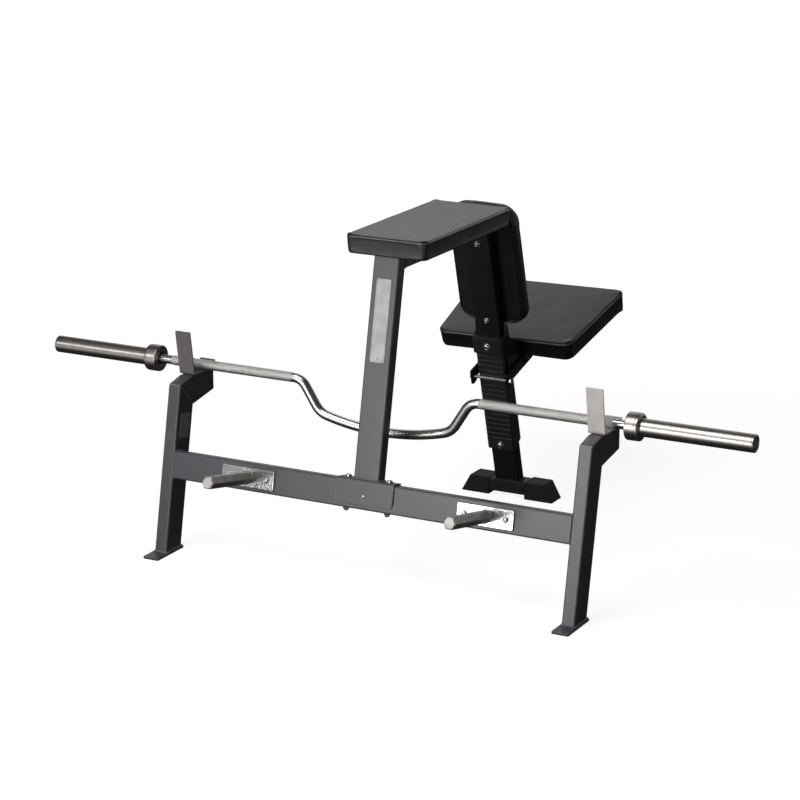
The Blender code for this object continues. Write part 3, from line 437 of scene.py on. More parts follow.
@dataclass(frozen=True)
class Polished(Finish):
    """Buffed stainless steel: wavy reflections from an uneven surface, hairline scratches along one axis, and
    light and dull blotches in the colour, partly stains and partly painted reflection.
    """

    hairline: tuple[float, float, float] = (0.03, 1.0, 1.0)
    wave: float = 0.0008
    # How dark the dull blotches get; they are partly stains and partly painted reflection.
    cloud: float = 0.72

    def dress(self, graph: Graph) -> tuple[Feed, Feed, Wire | None]:
        """Long scratches over a surface that isn't quite flat, and colour blotches that are partly stains and
        partly painted reflection.

        Args:
            graph: the material's node tree.

        Returns:
            Base colour, roughness and normal.
        """
        wave = graph.noise(graph.place(), 75, 3, 0.6)
        scratch = graph.noise(graph.place(self.hairline), 1500, 3)
        stain_and_painted_reflection = graph.noise(graph.place(), 30, 4)
        light, dull = shade(self.colour, 1.06), shade(self.colour, self.cloud)
        # Light and dull blotches: partly stains, partly painted reflection.
        base = graph.mix(stain_and_painted_reflection.ramp(0.35, 0.7), light, dull)
        base = graph.mix(scratch.ramp(0.55, 0.8) * 0.4, base, shade(self.colour, 0.6))
        rough = self.roughness + 0.18 * (scratch - 0.5) + 0.16 * (stain_and_painted_reflection - 0.5)
        return base, rough, graph.bump(scratch, 0.00002, graph.bump(wave, self.wave))


@dataclass(frozen=True)
class Plated(Finish):
    """Zinc plating or anodising, with a cloudy film."""

    def dress(self, graph: Graph) -> tuple[Feed, Feed, Wire | None]:
        """Clouded plating.

        Args:
            graph: the material's node tree.

        Returns:
            Base colour, roughness and normal.
        """
        cloud = graph.noise(graph.place(), 260, 3)
        fine = graph.noise(graph.place(), 1800, 2)
        base = graph.mix(cloud.ramp(0.35, 0.7), shade(self.colour, 0.75), shade(self.colour, 1.08))
        return base, self.roughness + 0.2 * (cloud - 0.5), graph.bump(fine, 0.00003)


@dataclass(frozen=True)
class Moulded(Finish):
    """Rubber or nylon from a mould: a fine matt texture and dusty high spots."""

    grain: float = 0.00012
    dust: float = 0.35

    def dress(self, graph: Graph) -> tuple[Feed, Feed, Wire | None]:
        """Fine mould grain and uneven dulling.

        Args:
            graph: the material's node tree.

        Returns:
            Base colour, roughness and normal.
        """
        at = graph.place()
        fine = graph.noise(at, 1300, 2)
        smear = graph.noise(at, 45, 4, 0.6)
        base = graph.mix(smear.ramp(0.35, 0.75) * self.dust, self.colour, shade(self.colour, 2.4))
        rough = self.roughness + 0.14 * (smear - 0.5) + 0.08 * (fine - 0.5)
        return base, rough, graph.bump(fine, self.grain)


@dataclass(frozen=True)
class StainedPly(Finish):
    """Black stained plywood of the pad boards, its grain along Y."""

    def dress(self, graph: Graph) -> tuple[Feed, Feed, Wire | None]:
        """Long wood fibres under the stain.

        Args:
            graph: the material's node tree.

        Returns:
            Base colour, roughness and normal.
        """
        fibre = graph.noise(graph.place((1.0, 0.04, 1.0)), 420, 4, 0.6)
        patch = graph.noise(graph.place((1.0, 0.3, 1.0)), 18, 3)
        base = graph.mix(fibre, shade(self.colour, 0.6), shade(self.colour, 1.7))
        base = graph.mix(patch * 0.5, base, shade(self.colour, 0.8))
        return base, self.roughness + 0.12 * (fibre - 0.5), graph.bump(fibre, 0.00015)


# The edge factors lighten each paint's corners: partly wear, partly a painted highlight, strongest on the
# frame.
FRAME_PAINT = PowderCoat(
    "anthracite_powder_coat", "frame_paint", (0.066, 0.066, 0.075), roughness=0.33, grain=0.00012, worn=7.0
)
POST_PAINT = PowderCoat(
    "black_powder_coat", "post_paint", (0.010, 0.010, 0.012), roughness=0.42, specular=0.30, worn=3.0
)
CARRIAGE_PAINT = PowderCoat(
    "black_carriage_coat", "post_paint", (0.021, 0.021, 0.025), roughness=0.38, worn=3.0
)
# The two bar rests share one paint: the right one is a painted-lit copy, the left one a painted-shade copy.
REST_PAINT_LIT_COPY = PowderCoat(
    "grey_powder_coat", "rest_paint", (0.74, 0.69, 0.66),
    roughness=0.40, metallic=0.2, grain=0.00008, worn=1.2,
)
REST_PAINT_SHADED_COPY = PowderCoat(
    "warm_grey_powder_coat", "rest_paint", (0.17, 0.158, 0.155),
    roughness=0.42, metallic=0.2, specular=0.4, grain=0.00008, worn=1.3,
)
STAINLESS = Polished("buffed_stainless", "stainless", (0.60, 0.59, 0.58), roughness=0.20, metallic=1.0)
PEG_STEEL = Polished(
    "drawn_hexagon_stainless", "stainless", (0.50, 0.48, 0.47),
    roughness=0.58, metallic=1.0, hairline=(1, 0.03, 1), wave=0.0003, cloud=0.85,
)
BADGE_STEEL = Polished(
    "satin_badge_plate", "stainless", (0.28, 0.28, 0.285),
    roughness=0.46, metallic=0.9, hairline=(1, 1, 0.04), wave=0.0, cloud=0.94,
)
LABEL_PLATE = Plated("black_anodised_plate", "stainless", (0.24, 0.24, 0.245), metallic=0.2)
ZINC = Plated("bright_zinc", "zinc", (0.66, 0.67, 0.68), roughness=0.26, metallic=1.0)
DULL_ZINC = Plated("dull_zinc", "zinc", (0.38, 0.38, 0.385), roughness=0.52, metallic=1.0)
BLACK_ZINC = Plated("black_zinc", "zinc", (0.045, 0.045, 0.050), roughness=0.34, metallic=0.8)
SHAFT_STEEL = Turned(
    "polished_shaft_steel", "bar_steel", (0.64, 0.62, 0.60),
    roughness=0.27, metallic=1.0, rings=1800, depth=0.00001,
)
GRIP_STEEL = Knurled("knurled_grip_steel", "bar_steel", (0.93, 0.91, 0.885), roughness=0.42, metallic=1.0)
SLEEVE_STEEL = Turned("turned_sleeve_steel", "bar_steel", (0.46, 0.437, 0.42), roughness=0.32, metallic=1.0)
# The bush's bronze is darkened far below bronze, as painted shade inside the collar's mouth.
BRONZE_PAINTED_SHADE = Turned("oiled_bearing_bronze", "bronze", (0.085, 0.068, 0.050), roughness=0.42, metallic=1.0)
VINYL = Vinyl("black_grained_vinyl", "vinyl", (0.0065, 0.0065, 0.0072), roughness=0.36)
# The welt is the cover's own black vinyl, made far lighter as a painted highlight along the seam.
WELT_VINYL_PAINTED_HIGHLIGHT = Vinyl("black_seam_vinyl", "vinyl", (0.085, 0.085, 0.092), roughness=0.24, specular=1.0)
THREAD = Moulded(
    "black_thread", "vinyl", (0.022, 0.022, 0.025), roughness=0.6, specular=0.4, grain=0.00005, dust=0.2
)
PAD_BOARD = StainedPly(
    "stained_pad_board", "pad_board", (0.010, 0.0096, 0.0092), roughness=0.75, specular=0.25
)
RUBBER = Moulded("moulded_rubber", "rubber", (0.010, 0.010, 0.011), roughness=0.62, specular=0.3)
NYLON = Moulded(
    "moulded_nylon", "moulded_black", (0.020, 0.020, 0.022),
    roughness=0.33, specular=0.8, grain=0.00006, dust=0.3,
)


# Forms


class Run(Enum):
    """The axis that a flat section runs along."""

    X = "X"
    Y = "Y"
    Z = "Z"

    def point(self, a: float, b: float, along: float) -> Vector:
        """Places a section's point at one level.

        Args:
            a: its first coordinate in the section.
            b: its second coordinate.
            along: the level on this axis.

        Returns:
            The place.
        """
        if self is Run.X:
            return Vector((along, a, b))
        if self is Run.Y:
            return Vector((a, along, b))
        return Vector((a, b, along))


@dataclass(frozen=True)
class Ring:
    """One ring of a turned piece: its radius or half the flats of a hexagon, and its height."""

    radius: float
    height: float
    hexagon: bool = False

    def reach(self, angle: float) -> float:
        """Measures the ring at an angle about its axis.

        Args:
            angle: the angle in radians.

        Returns:
            Distance from the axis.
        """
        if not self.hexagon:
            return self.radius
        return self.radius / math.cos((angle + math.pi / 6) % (math.pi / 3) - math.pi / 6)


def box_corners(a_low: float, a_high: float, b_low: float, b_high: float) -> list[Point2]:
    """The corners of a rectangle, anticlockwise."""
    return [(a_low, b_low), (a_high, b_low), (a_high, b_high), (a_low, b_high)]


def rounded(corners: Sequence[Point2], radius: float, closed: bool = True, steps: int = 5) -> list[Point2]:
    """Rounds the corners of an outline.

    Args:
        corners: the sharp corners in order.
        radius: the fillet's radius.
        closed: whether the last corner joins the first.
        steps: short edges in each fillet.

    Returns:
        The points of the rounded outline.
    """
    spots = [Vector(corner) for corner in corners]
    points: list[Point2] = []
    for index, corner in enumerate(spots):
        if radius <= 0 or (not closed and index in (0, len(spots) - 1)):
            points.append(tuple(corner))
            continue
        before = (spots[index - 1] - corner).normalized()
        after = (spots[(index + 1) % len(spots)] - corner).normalized()
        half = before.angle(after) / 2
        centre = corner + (before + after).normalized() * radius / math.sin(half)
        start = corner + before * radius / math.tan(half) - centre
        stop = corner + after * radius / math.tan(half) - centre
        sense = 1 if start.cross(stop) > 0 else -1
        for step in range(steps + 1):
            turned = Matrix.Rotation(sense * start.angle(stop) * step / steps, 2) @ start
            points.append(tuple(centre + turned))
    return points


def strip(corners: Sequence[Point2], thickness: float, bend: float) -> list[Point2]:
    """Side view of a plate bent along an open centre line.

    Args:
        corners: the centre line's corners.
        thickness: the plate's thickness.
        bend: radius of the bends on the centre line.

    Returns:
        The plate's closed outline.
    """
    line = [Vector(point) for point in rounded(corners, bend, closed=False, steps=6)]
    sides: tuple[list[Point2], list[Point2]] = ([], [])
    for index, point in enumerate(line):
        along = line[min(index + 1, len(line) - 1)] - line[max(index - 1, 0)]
        across = Vector((-along.y, along.x)).normalized() * thickness / 2
        sides[0].append(tuple(point + across))
        sides[1].append(tuple(point - across))
    return sides[0] + sides[1][::-1]


class Keep(Enum):
    """What stays of a form where another one meets it."""

    OUTSIDE = "DIFFERENCE"
    SHARED = "INTERSECT"


class Form:
    """A piece under construction, drawn in the axes of the frame that it belongs to."""

    def __init__(self, axes: Matrix) -> None:
        """Starts an empty piece."""
        self.axes = axes
        self.mesh = bmesh.new()

    def run(
        self,
        section: Sequence[Point2],
        low: Level,
        high: Level,
        along: Run = Run.Z,
        ease: float = 0.0006,
        every_edge: bool = False,
        steps: int = 2,
    ) -> "Form":
        """Runs a flat section between two levels and eases its edges.

        Args:
            section: the outline.
            low: the lower level, or a function of the section's point.
            high: the upper level, or a function of the section's point.
            along: the axis that the section runs along.
            ease: radius on the edges.
            every_edge: eases the long sharp edges too, not only the two rims.
            steps: short edges across an eased edge.

        Returns:
            The form itself.
        """
        ends = []
        for level in (low, high):
            spots = [along.point(a, b, level(a, b) if callable(level) else level) for a, b in section]
            ends.append([self.mesh.verts.new(spot) for spot in spots])
        faces = [self.mesh.faces.new(ends[0][::-1]), self.mesh.faces.new(ends[1])]
        rims = {edge for face in faces for edge in face.edges}
        sides = []
        for index in range(len(section)):
            around = (ends[0][index - 1], ends[0][index], ends[1][index], ends[1][index - 1])
            sides.append(self.mesh.faces.new(around))
        bmesh.ops.recalc_face_normals(self.mesh, faces=faces + sides)
        if every_edge:
            edges = {edge for face in sides for edge in face.edges}
            rims |= {edge for edge in edges if edge.calc_face_angle(0.0) > math.radians(20)}
        if ease > 0:
            self.ease(rims, ease, steps)
        return self

    def ease(self, edges: set[bmesh.types.BMEdge], radius: float, steps: int = 2) -> None:
        """Rounds the given edges.

        Args:
            edges: the edges.
            radius: the rounding's radius.
            steps: short edges across each.
        """
        bmesh.ops.bevel(
            self.mesh,
            geom=list(edges),
            offset=radius,
            offset_type="OFFSET",
            segments=steps,
            profile=0.5,
            affect="EDGES",
            clamp_overlap=True,
        )

    def turn(self, rings: Sequence[Ring], at: Matrix, closed: bool = False, steps: int = 36) -> "Form":
        """Turns a profile about the Z axis of a place.

        Args:
            rings: the profile, from its top.
            at: where the piece sits, in the form's axes.
            closed: joins the last ring to the first, for a piece with a bore.
            steps: corners round the piece.

        Returns:
            The form itself.
        """
        loops = []
        for ring in rings:
            if ring.radius == 0:
                loops.append([self.mesh.verts.new(at @ Vector((0, 0, ring.height)))])
                continue
            spots = []
            for angle in (2 * math.pi * step / steps for step in range(steps)):
                reach = ring.reach(angle)
                spots.append(Vector((reach * math.cos(angle), reach * math.sin(angle), ring.height)))
            loops.append([self.mesh.verts.new(at @ spot) for spot in spots])
        pairs = list(zip(loops, loops[1:])) + ([(loops[-1], loops[0])] if closed else [])
        for upper, lower in pairs:
            self.skin(upper, lower)
        if not closed:
            for loop in (loops[0], loops[-1][::-1]):
                if len(loop) > 1:
                    self.mesh.faces.new(loop)
        return self

    def skin(self, upper: list, lower: list) -> None:
        """Fills the band between two loops, either of which may be a single point.

        Args:
            upper: the vertices of one loop.
            lower: the vertices of the other.
        """
        for index in range(max(len(upper), len(lower))):
            around = [upper[index - 1] if len(upper) > 1 else upper[0]]
            around += [upper[index]] if len(upper) > 1 else []
            around += [lower[index], lower[index - 1]] if len(lower) > 1 else [lower[0]]
            self.mesh.faces.new(around)

    def sweep(
        self, path: Sequence[Vector], radius: Callable[[float], float], sides: int = 12, closed: bool = False
    ) -> "Form":
        """Draws a round section along a path.

        Args:
            path: the centre line.
            radius: the section's radius at a distance along the path.
            sides: corners round the section.
            closed: whether the path ends where it starts.

        Returns:
            The form itself.
        """
        count = len(path)
        normal = Vector((0, 0, 1))
        loops = []
        travelled = 0.0
        for index, spot in enumerate(path):
            ahead = path[(index + 1) % count] if closed or index < count - 1 else spot
            behind = path[index - 1] if closed or index else spot
            along = (ahead - behind).normalized()
            if index:
                travelled += (spot - path[index - 1]).length
            side = normal - along * normal.dot(along)
            if side.length < 0.1:
                side = along.orthogonal()
            normal = side.normalized()
            other = along.cross(normal)
            size = radius(travelled)
            loop = []
            for angle in (2 * math.pi * step / sides for step in range(sides)):
                away = normal * math.cos(angle) + other * math.sin(angle)
                loop.append(self.mesh.verts.new(spot + size * away))
            loops.append(loop)
        for upper, lower in zip(loops, loops[1:]):
            self.skin(upper, lower)
        if closed:
            self.skin(loops[-1], loops[0])
        else:
            self.mesh.faces.new(loops[0])
            self.mesh.faces.new(loops[-1][::-1])
        return self

    def bead(self, corners: Sequence[Vector], radius: float = 0.0022, closed: bool = False) -> "Form":
        """Lays a rippled weld along straight stretches.

        Args:
            corners: the line's corners.
            radius: the bead's mean radius.
            closed: whether the weld runs right round.

        Returns:
            The form itself.
        """
        spots = [Vector(corner) for corner in corners]
        stretches = list(zip(spots, spots[1:])) + ([(spots[-1], spots[0])] if closed else [])
        path = []
        for start, stop in stretches:
            count = max(2, round((stop - start).length / 0.0011))
            path += [start.lerp(stop, step / count) for step in range(count)]
        if not closed:
            path.append(spots[-1])
        length = sum((b - a).length for a, b in zip(path, path[1:]))

        def size(s: float) -> float:
            """The bead's radius, with its ripples and tapering ends.

            Args:
                s: the distance along it.

            Returns:
                The radius there.
            """
            ripple = 0.10 * abs(math.sin(math.pi * s / 0.0032))
            ripple += 0.12 * noise.noise((s * 90, radius * 900, 3.1))
            taper = 1.0 if closed else min(1.0, 0.35 + min(s, length - s) / 0.004)
            return radius * (0.92 + ripple) * taper

        return self.sweep(path, size, 8, closed)

    def mesh_data(self, name: str) -> bpy.types.Mesh:
        """Closes the construction.

        Args:
            name: the mesh's name.

        Returns:
            The mesh, facing out, in the form's own axes.
        """
        bmesh.ops.remove_doubles(self.mesh, verts=self.mesh.verts, dist=0.000002)
        bmesh.ops.recalc_face_normals(self.mesh, faces=self.mesh.faces)
        data = bpy.data.meshes.new(name)
        self.mesh.to_mesh(data)
        self.mesh.free()
        return data

    def combine(self, other: "Form", keep: Keep) -> "Form":
        """Cuts the form with another one in the same axes.

        Args:
            other: the other form, which is used up.
            keep: what stays of this one.

        Returns:
            The form itself.
        """
        pair = []
        for form in (self, other):
            obj = bpy.data.objects.new("construction", form.mesh_data("construction"))
            bpy.context.scene.collection.objects.link(obj)
            pair.append(obj)
        modifier = pair[0].modifiers.new("combine", "BOOLEAN")
        modifier.operation = keep.value
        modifier.object = pair[1]
        graph = bpy.context.evaluated_depsgraph_get()
        result = bpy.data.meshes.new_from_object(pair[0].evaluated_get(graph))
        self.mesh = bmesh.new()
        self.mesh.from_mesh(result)
        for obj in pair:
            bpy.data.objects.remove(obj, do_unlink=True)
        return self

    def ease_sharp(self, radius: float, angle: float = 25.0, steps: int = 2) -> "Form":
        """Rounds every edge that is sharper than an angle.

        Args:
            radius: the rounding's radius.
            angle: the least angle between two faces, in degrees.
            steps: short edges across a rounded edge.

        Returns:
            The form itself.
        """
        limit = math.radians(angle)
        bmesh.ops.dissolve_limit(self.mesh, angle_limit=0.002, verts=self.mesh.verts, edges=self.mesh.edges)
        self.ease({edge for edge in self.mesh.edges if edge.calc_face_angle(0.0) > limit}, radius, steps)
        return self


def show(
    form: Form,
    name: str,
    body: str,
    finish: Finish,
    replaces: Sequence[str] = (),
    sharp: float = 38.0,
) -> None:
    """Makes a finished piece of a form and puts it on its body.

    Args:
        form: the piece's shape.
        name: the piece's name.
        body: the body that it rides on.
        finish: what it is made of or coated with.
        replaces: the solids that it stands for.
        sharp: angle in degrees above which an edge stays sharp.
    """
    data = form.mesh_data(name)
    data.transform(form.axes)
    show_mesh(data, name, body, finish, replaces, sharp)


def show_mesh(
    data: bpy.types.Mesh,
    name: str,
    body: str,
    finish: Finish,
    replaces: Sequence[str] = (),
    sharp: float = 38.0,
) -> bpy.types.Object:
    """Dresses a mesh in the model's own axes and puts it on its body.

    Args:
        data: the mesh.
        name: the piece's name.
        body: the body that it rides on.
        finish: what it is made of or coated with.
        replaces: the solids that it stands for.
        sharp: angle in degrees above which an edge stays sharp.

    Returns:
        The piece.
    """
    data.shade_smooth()
    data.set_sharp_from_angle(angle=math.radians(sharp))
    data.materials.append(finish.material())
    piece = bpy.data.objects.new(name, data)
    bpy.context.scene.collection.objects.link(piece)
    weighted = piece.modifiers.new("even_shading", "WEIGHTED_NORMAL")
    weighted.keep_sharp = True
    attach(piece, body)
    if replaces:
        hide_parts(*replaces)
    log.info("%s rides on %s", name, body)
    return piece


def dress_solid(node: str, finish: Finish) -> None:
    """Gives a solid that stays in view its finish.

    Args:
        node: the solid's name.
        finish: what it is made of.
    """
    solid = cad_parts[node]
    solid.data.materials.clear()
    solid.data.materials.append(finish.material())
    log.info("%s stays, in %s", node, finish.name)


# Fasteners


class Head(Enum):
    """Kinds of fastener end."""

    BUTTON = "button"
    DOMED_NUT = "domed nut"
    RIVET = "rivet"


@dataclass(frozen=True)
class Fastener:
    """The visible end of a bolt, nut or rivet, standing on a surface along Z."""

    head: Head
    radius: float
    high: float = 0.0058
    washer: bool = True
    washer_thick: float = 0.0012

    def rings(self) -> list[Ring]:
        """Draws the head.

        Returns:
            The profile from its top down to its seat.
        """
        r, h = self.radius, self.high
        if self.head is Head.RIVET:
            return [
                Ring(0, h), Ring(r * 0.5, h * 0.9), Ring(r * 0.85, h * 0.6), Ring(r, h * 0.15), Ring(r, 0),
            ]
        if self.head is Head.DOMED_NUT:
            flat = r * 0.9
            return [
                Ring(0, h), Ring(r * 0.35, h * 0.96), Ring(r * 0.62, h * 0.82), Ring(r * 0.76, h * 0.6),
                Ring(r * 0.78, h * 0.5), Ring(flat, h * 0.46, True), Ring(flat, h * 0.06, True),
                Ring(flat * 0.95, 0),
            ]
        socket = r * 0.33
        return [
            Ring(0, h * 0.35), Ring(socket, h * 0.42, True), Ring(socket, h * 0.92, True),
            Ring(socket * 1.3, h * 0.985), Ring(r * 0.56, h), Ring(r * 0.74, h * 0.86),
            Ring(r * 0.89, h * 0.62), Ring(r * 0.975, h * 0.36), Ring(r, h * 0.2), Ring(r * 0.97, 0),
        ]

    def add(self, form: Form, at: Matrix) -> None:
        """Builds the end at a place.

        Args:
            form: the form that takes it.
            at: the seat, in the form's axes, with Z pointing away from the surface.
        """
        lift = self.washer_thick if self.washer else 0.0
        if self.washer:
            outer = self.radius * 1.22
            rim = [Ring(outer - 0.0003, lift), Ring(outer, lift * 0.6), Ring(outer, 0)]
            form.turn([Ring(0, lift), *rim, Ring(0, 0)], at)
        form.turn(self.rings(), at @ Matrix.Translation((0, 0, lift)))


# Sub-assemblies


@dataclass
class FrontFrame:
    """The two leaning uprights with their heads and feet, and the cross beam."""

    reach: float = 0.6468
    wide: float = 0.040
    deep: float = 0.080
    corner: float = 0.005
    top: float = 0.4965
    mitre: float = 0.0575
    beam_low: float = 0.2267
    head_top: float = 0.4995
    head_level: float = 0.155
    head_back: float = 0.279
    head_back_low: float = 0.4333
    plate_thick: float = 0.008
    plate_wide: float = 0.050
    plate_front: float = -0.051
    plate_tail: float = 0.005
    weld_off: float = 0.0004
    foot_weld: float = 0.0024
    beam_weld: float = 0.0022
    mitre_weld: float = 0.0011

    def front_point(self, w: float, n: float) -> Point2:
        """Turns a point of the leaning frame upright.

        Args:
            w: its distance up the lean.
            n: its depth behind the front face.

        Returns:
            Its depth and height from the bench's own front.
        """
        sine, cosine = math.sin(FRONT_LEAN), math.cos(FRONT_LEAN)
        return (w * sine + n * cosine, w * cosine - n * sine)

    def foot_level(self, n: float) -> float:
        """Distance up the upright where it meets its foot plate, at depth n."""
        return (self.plate_thick + GAP + n * math.sin(FRONT_LEAN)) / math.cos(FRONT_LEAN)

    def mitre_level(self, n: float) -> float:
        """Distance up the upright where it meets its head, at depth n."""
        return self.top - self.mitre * n / self.deep

    def build(self) -> None:
        """Builds both sides and the beam between them."""
        for side in Side:
            self.upright(side)
            self.head(side)
            self.foot(side)
            self.welds(side)
        self.beam()

    def upright(self, side: Side) -> None:
        """Builds one leaning tube.

        Args:
            side: the bench's side.
        """
        x = side.value * self.reach
        section = rounded(box_corners(x - self.wide / 2, x + self.wide / 2, 0, self.deep), self.corner)
        form = Form(FRONT).run(
            section,
            lambda u, n: self.foot_level(n),
            lambda u, n: self.top - GAP - self.mitre * n / self.deep,
            ease=TUBE_RIM,
        )
        show(form, "upright_tube_" + side.word, "frame", FRAME_PAINT, ["upright_" + side.word])

    def head(self, side: Side) -> None:
        """Builds the short level arm welded on the upright.

        Args:
            side: the bench's side.
        """
        x = side.value * self.reach
        corners = [
            self.front_point(self.top, 0),
            self.front_point(self.top - self.mitre, self.deep),
            (self.head_back, self.head_back_low),
            (self.head_back, self.head_top),
            (self.head_level, self.head_top),
        ]
        form = Form(BENCH).run(
            corners, x - self.wide / 2, x + self.wide / 2, Run.X, ease=0.0035, every_edge=True, steps=3
        )
        show(form, "head_arm_" + side.word, "frame", FRAME_PAINT, ["head_" + side.word])

    def foot(self, side: Side) -> None:
        """Builds the flat steel plate under the upright.

        Args:
            side: the bench's side.
        """
        x = side.value * self.reach
        back = self.front_point(self.foot_level(self.deep), self.deep)[0] + self.plate_tail
        corners = box_corners(x - self.plate_wide / 2, x + self.plate_wide / 2, self.plate_front, back)
        form = Form(BENCH).run(rounded(corners, 0.003), 0, self.plate_thick, ease=0.0012)
        show(form, "foot_steel_" + side.word, "frame", FRAME_PAINT, ["foot_plate_" + side.word])

    def beam(self) -> None:
        """The cross beam."""
        end = self.reach - self.wide / 2 - GAP
        section = rounded(box_corners(0, self.wide, self.beam_low, self.beam_low + self.deep), self.corner)
        form = Form(FRONT).run(section, -end, end, Run.X, ease=TUBE_RIM)
        show(form, "cross_beam_tube", "frame", FRAME_PAINT, ["cross_beam"])

    def welds(self, side: Side) -> None:
        """Lays beads round the foot, at the beam's end and along the mitre.

        Args:
            side: the bench's side.
        """
        x = side.value * self.reach
        off = self.weld_off
        half = self.wide / 2 + off
        form = Form(FRONT)
        foot = []
        for u, n in ((x - half, -off), (x + half, -off), (x + half, self.deep), (x - half, self.deep)):
            foot.append((u, n, self.foot_level(n) + 2 * off))
        form.bead(foot, self.foot_weld, closed=True)
        inner = x - side.value * half
        low, high = self.beam_low, self.beam_low + self.deep
        behind = self.wide + off
        form.bead([(inner, behind, low + 0.004), (inner, behind, high - 0.004)], self.beam_weld)
        for level in (high + 0.0006, low - 0.0006):
            form.bead([(inner, 0.004, level), (inner, self.wide - 0.002, level)], self.beam_weld)
        for u in (x - self.wide / 2, x + self.wide / 2):
            form.bead([(u, n, self.mitre_level(n)) for n in (0.006, self.deep - 0.006)], self.mitre_weld)
        show(form, "frame_welds_" + side.word, "frame", FRAME_PAINT)


@dataclass
class BarRests:
    """The bent plates that the bar lies in."""

    reach: float = 0.6468
    wide: float = 0.050
    thick: float = 0.005
    back: float = 0.280
    base: float = 0.4998
    floor: float = 0.112
    lip: float = 0.0235
    guard: float = 0.131
    flare: float = math.radians(9.0)
    bend: float = 0.008
    tip: float = 0.003
    edge: float = 0.0007
    weld: float = 0.0018

    def build(self) -> None:
        """Builds the left and the right rest."""
        half = self.thick / 2
        top = (self.back - self.floor - self.guard * math.tan(self.flare), self.base + half + self.guard)
        line = [
            (self.back - half, self.base + self.lip),
            (self.back - half, self.base + half),
            (self.back - self.floor, self.base + half),
            top,
        ]
        # Left rest in the painted-shade copy, right rest in the painted-lit copy of the same paint.
        for side, finish in zip(Side, (REST_PAINT_SHADED_COPY, REST_PAINT_LIT_COPY)):
            x = side.value * self.reach
            form = Form(BENCH).run(
                strip(line, self.thick, self.bend), x - self.wide / 2, x + self.wide / 2, Run.X, ease=0.0
            )
            self.round_corners(form, x)
            form.ease_sharp(self.edge, 40)
            show(form, "bar_hook_" + side.word, "frame", finish, ["bar_rest_" + side.word])
            self.seat_weld(side)

    def round_corners(self, form: Form, x: float) -> None:
        """Rounds the plate's free corners at the guard's top and the lip's top.

        Args:
            form: the bent plate.
            x: its middle.
        """
        tips = set()
        for edge in form.mesh.edges:
            a, b = (vertex.co for vertex in edge.verts)
            high = min(a.z, b.z) > self.base + self.lip - 0.004
            short = abs(a.x - b.x) < SAME and abs((a - b).length - self.thick) < 0.0002
            if high and short and abs(abs(a.x - x) - self.wide / 2) < SAME:
                tips.add(edge)
        form.ease(tips, self.tip, 4)

    def seat_weld(self, side: Side) -> None:
        """Lays beads under the floor of the rest, along both sides of the head.

        Args:
            side: the bench's side.
        """
        form = Form(BENCH)
        x, level = side.value * self.reach, self.base - 0.0008
        for u in (x - 0.0205, x + 0.0205):
            form.bead([(u, self.back - 0.012, level), (u, self.back - 0.095, level)], self.weld)
        show(form, "rest_welds_" + side.word, "frame", FRAME_PAINT)


@dataclass
class PlateStorage:
    """The bolted plates and hexagonal pegs on the cross beam."""

    reach: float = 0.375
    middle: float = 0.2663
    wide: float = 0.170
    high: float = 0.0545
    thick: float = 0.006
    bolts: float = 0.0625
    flats: float = 0.033
    length: float = 0.217
    corner: float = 0.0025
    edge: float = 0.0009
    chamfer: float = 0.0022
    weld: float = 0.0021

    def build(self) -> None:
        """Builds both stations."""
        for side in Side:
            x = side.value * self.reach
            low, high = self.middle - self.high / 2, self.middle + self.high / 2
            corners = rounded(box_corners(x - self.wide / 2, x + self.wide / 2, low, high), self.corner)
            plate = Form(FRONT).run(corners, -GAP - self.thick, -GAP, Run.Y, ease=self.edge)
            show(plate, "storage_steel_" + side.word, "frame", STAINLESS, ["storage_plate_" + side.word])
            self.peg(side)
            for end, offset in (("a", -self.bolts), ("b", self.bolts)):
                at = Matrix.Translation((x + offset, -self.thick - 2 * GAP, self.middle)) @ FACING_FRONT
                form = Form(FRONT)
                Fastener(Head.BUTTON, SMALL_BUTTON).add(form, at)
                node = f"storage_bolt_{side.word}_{end}"
                show(form, f"storage_button_{side.word}_{end}", "frame", ZINC, [node])

    def peg(self, side: Side) -> None:
        """Builds one hexagonal bar with a chamfered end, and its weld.

        Args:
            side: the bench's side.
        """
        x = side.value * self.reach
        root = -self.thick - 2 * GAP
        tip = root - self.length
        half = self.flats / 2
        turned = Matrix.Rotation(math.radians(30), 4, "Z")
        at = Matrix.Translation((x, 0, self.middle)) @ FACING_FRONT @ turned
        rings = [
            Ring(half * 0.86, -tip),
            Ring(half, -tip - self.chamfer, True),
            Ring(half, -root, True),
        ]
        form = Form(FRONT).turn(rings, at, steps=48)
        show(form, "peg_bar_" + side.word, "frame", PEG_STEEL, ["storage_peg_" + side.word], 25)
        corner = half / math.cos(math.pi / 6) + 0.0006
        loop = []
        for k in range(6):
            angle = math.radians(60 * k)
            u, w = x + corner * math.sin(angle), self.middle + corner * math.cos(angle)
            loop.append((u, root - 0.0006, w))
        weld = Form(FRONT).bead(loop, self.weld, closed=True)
        show(weld, "peg_weld_" + side.word, "frame", PEG_STEEL)


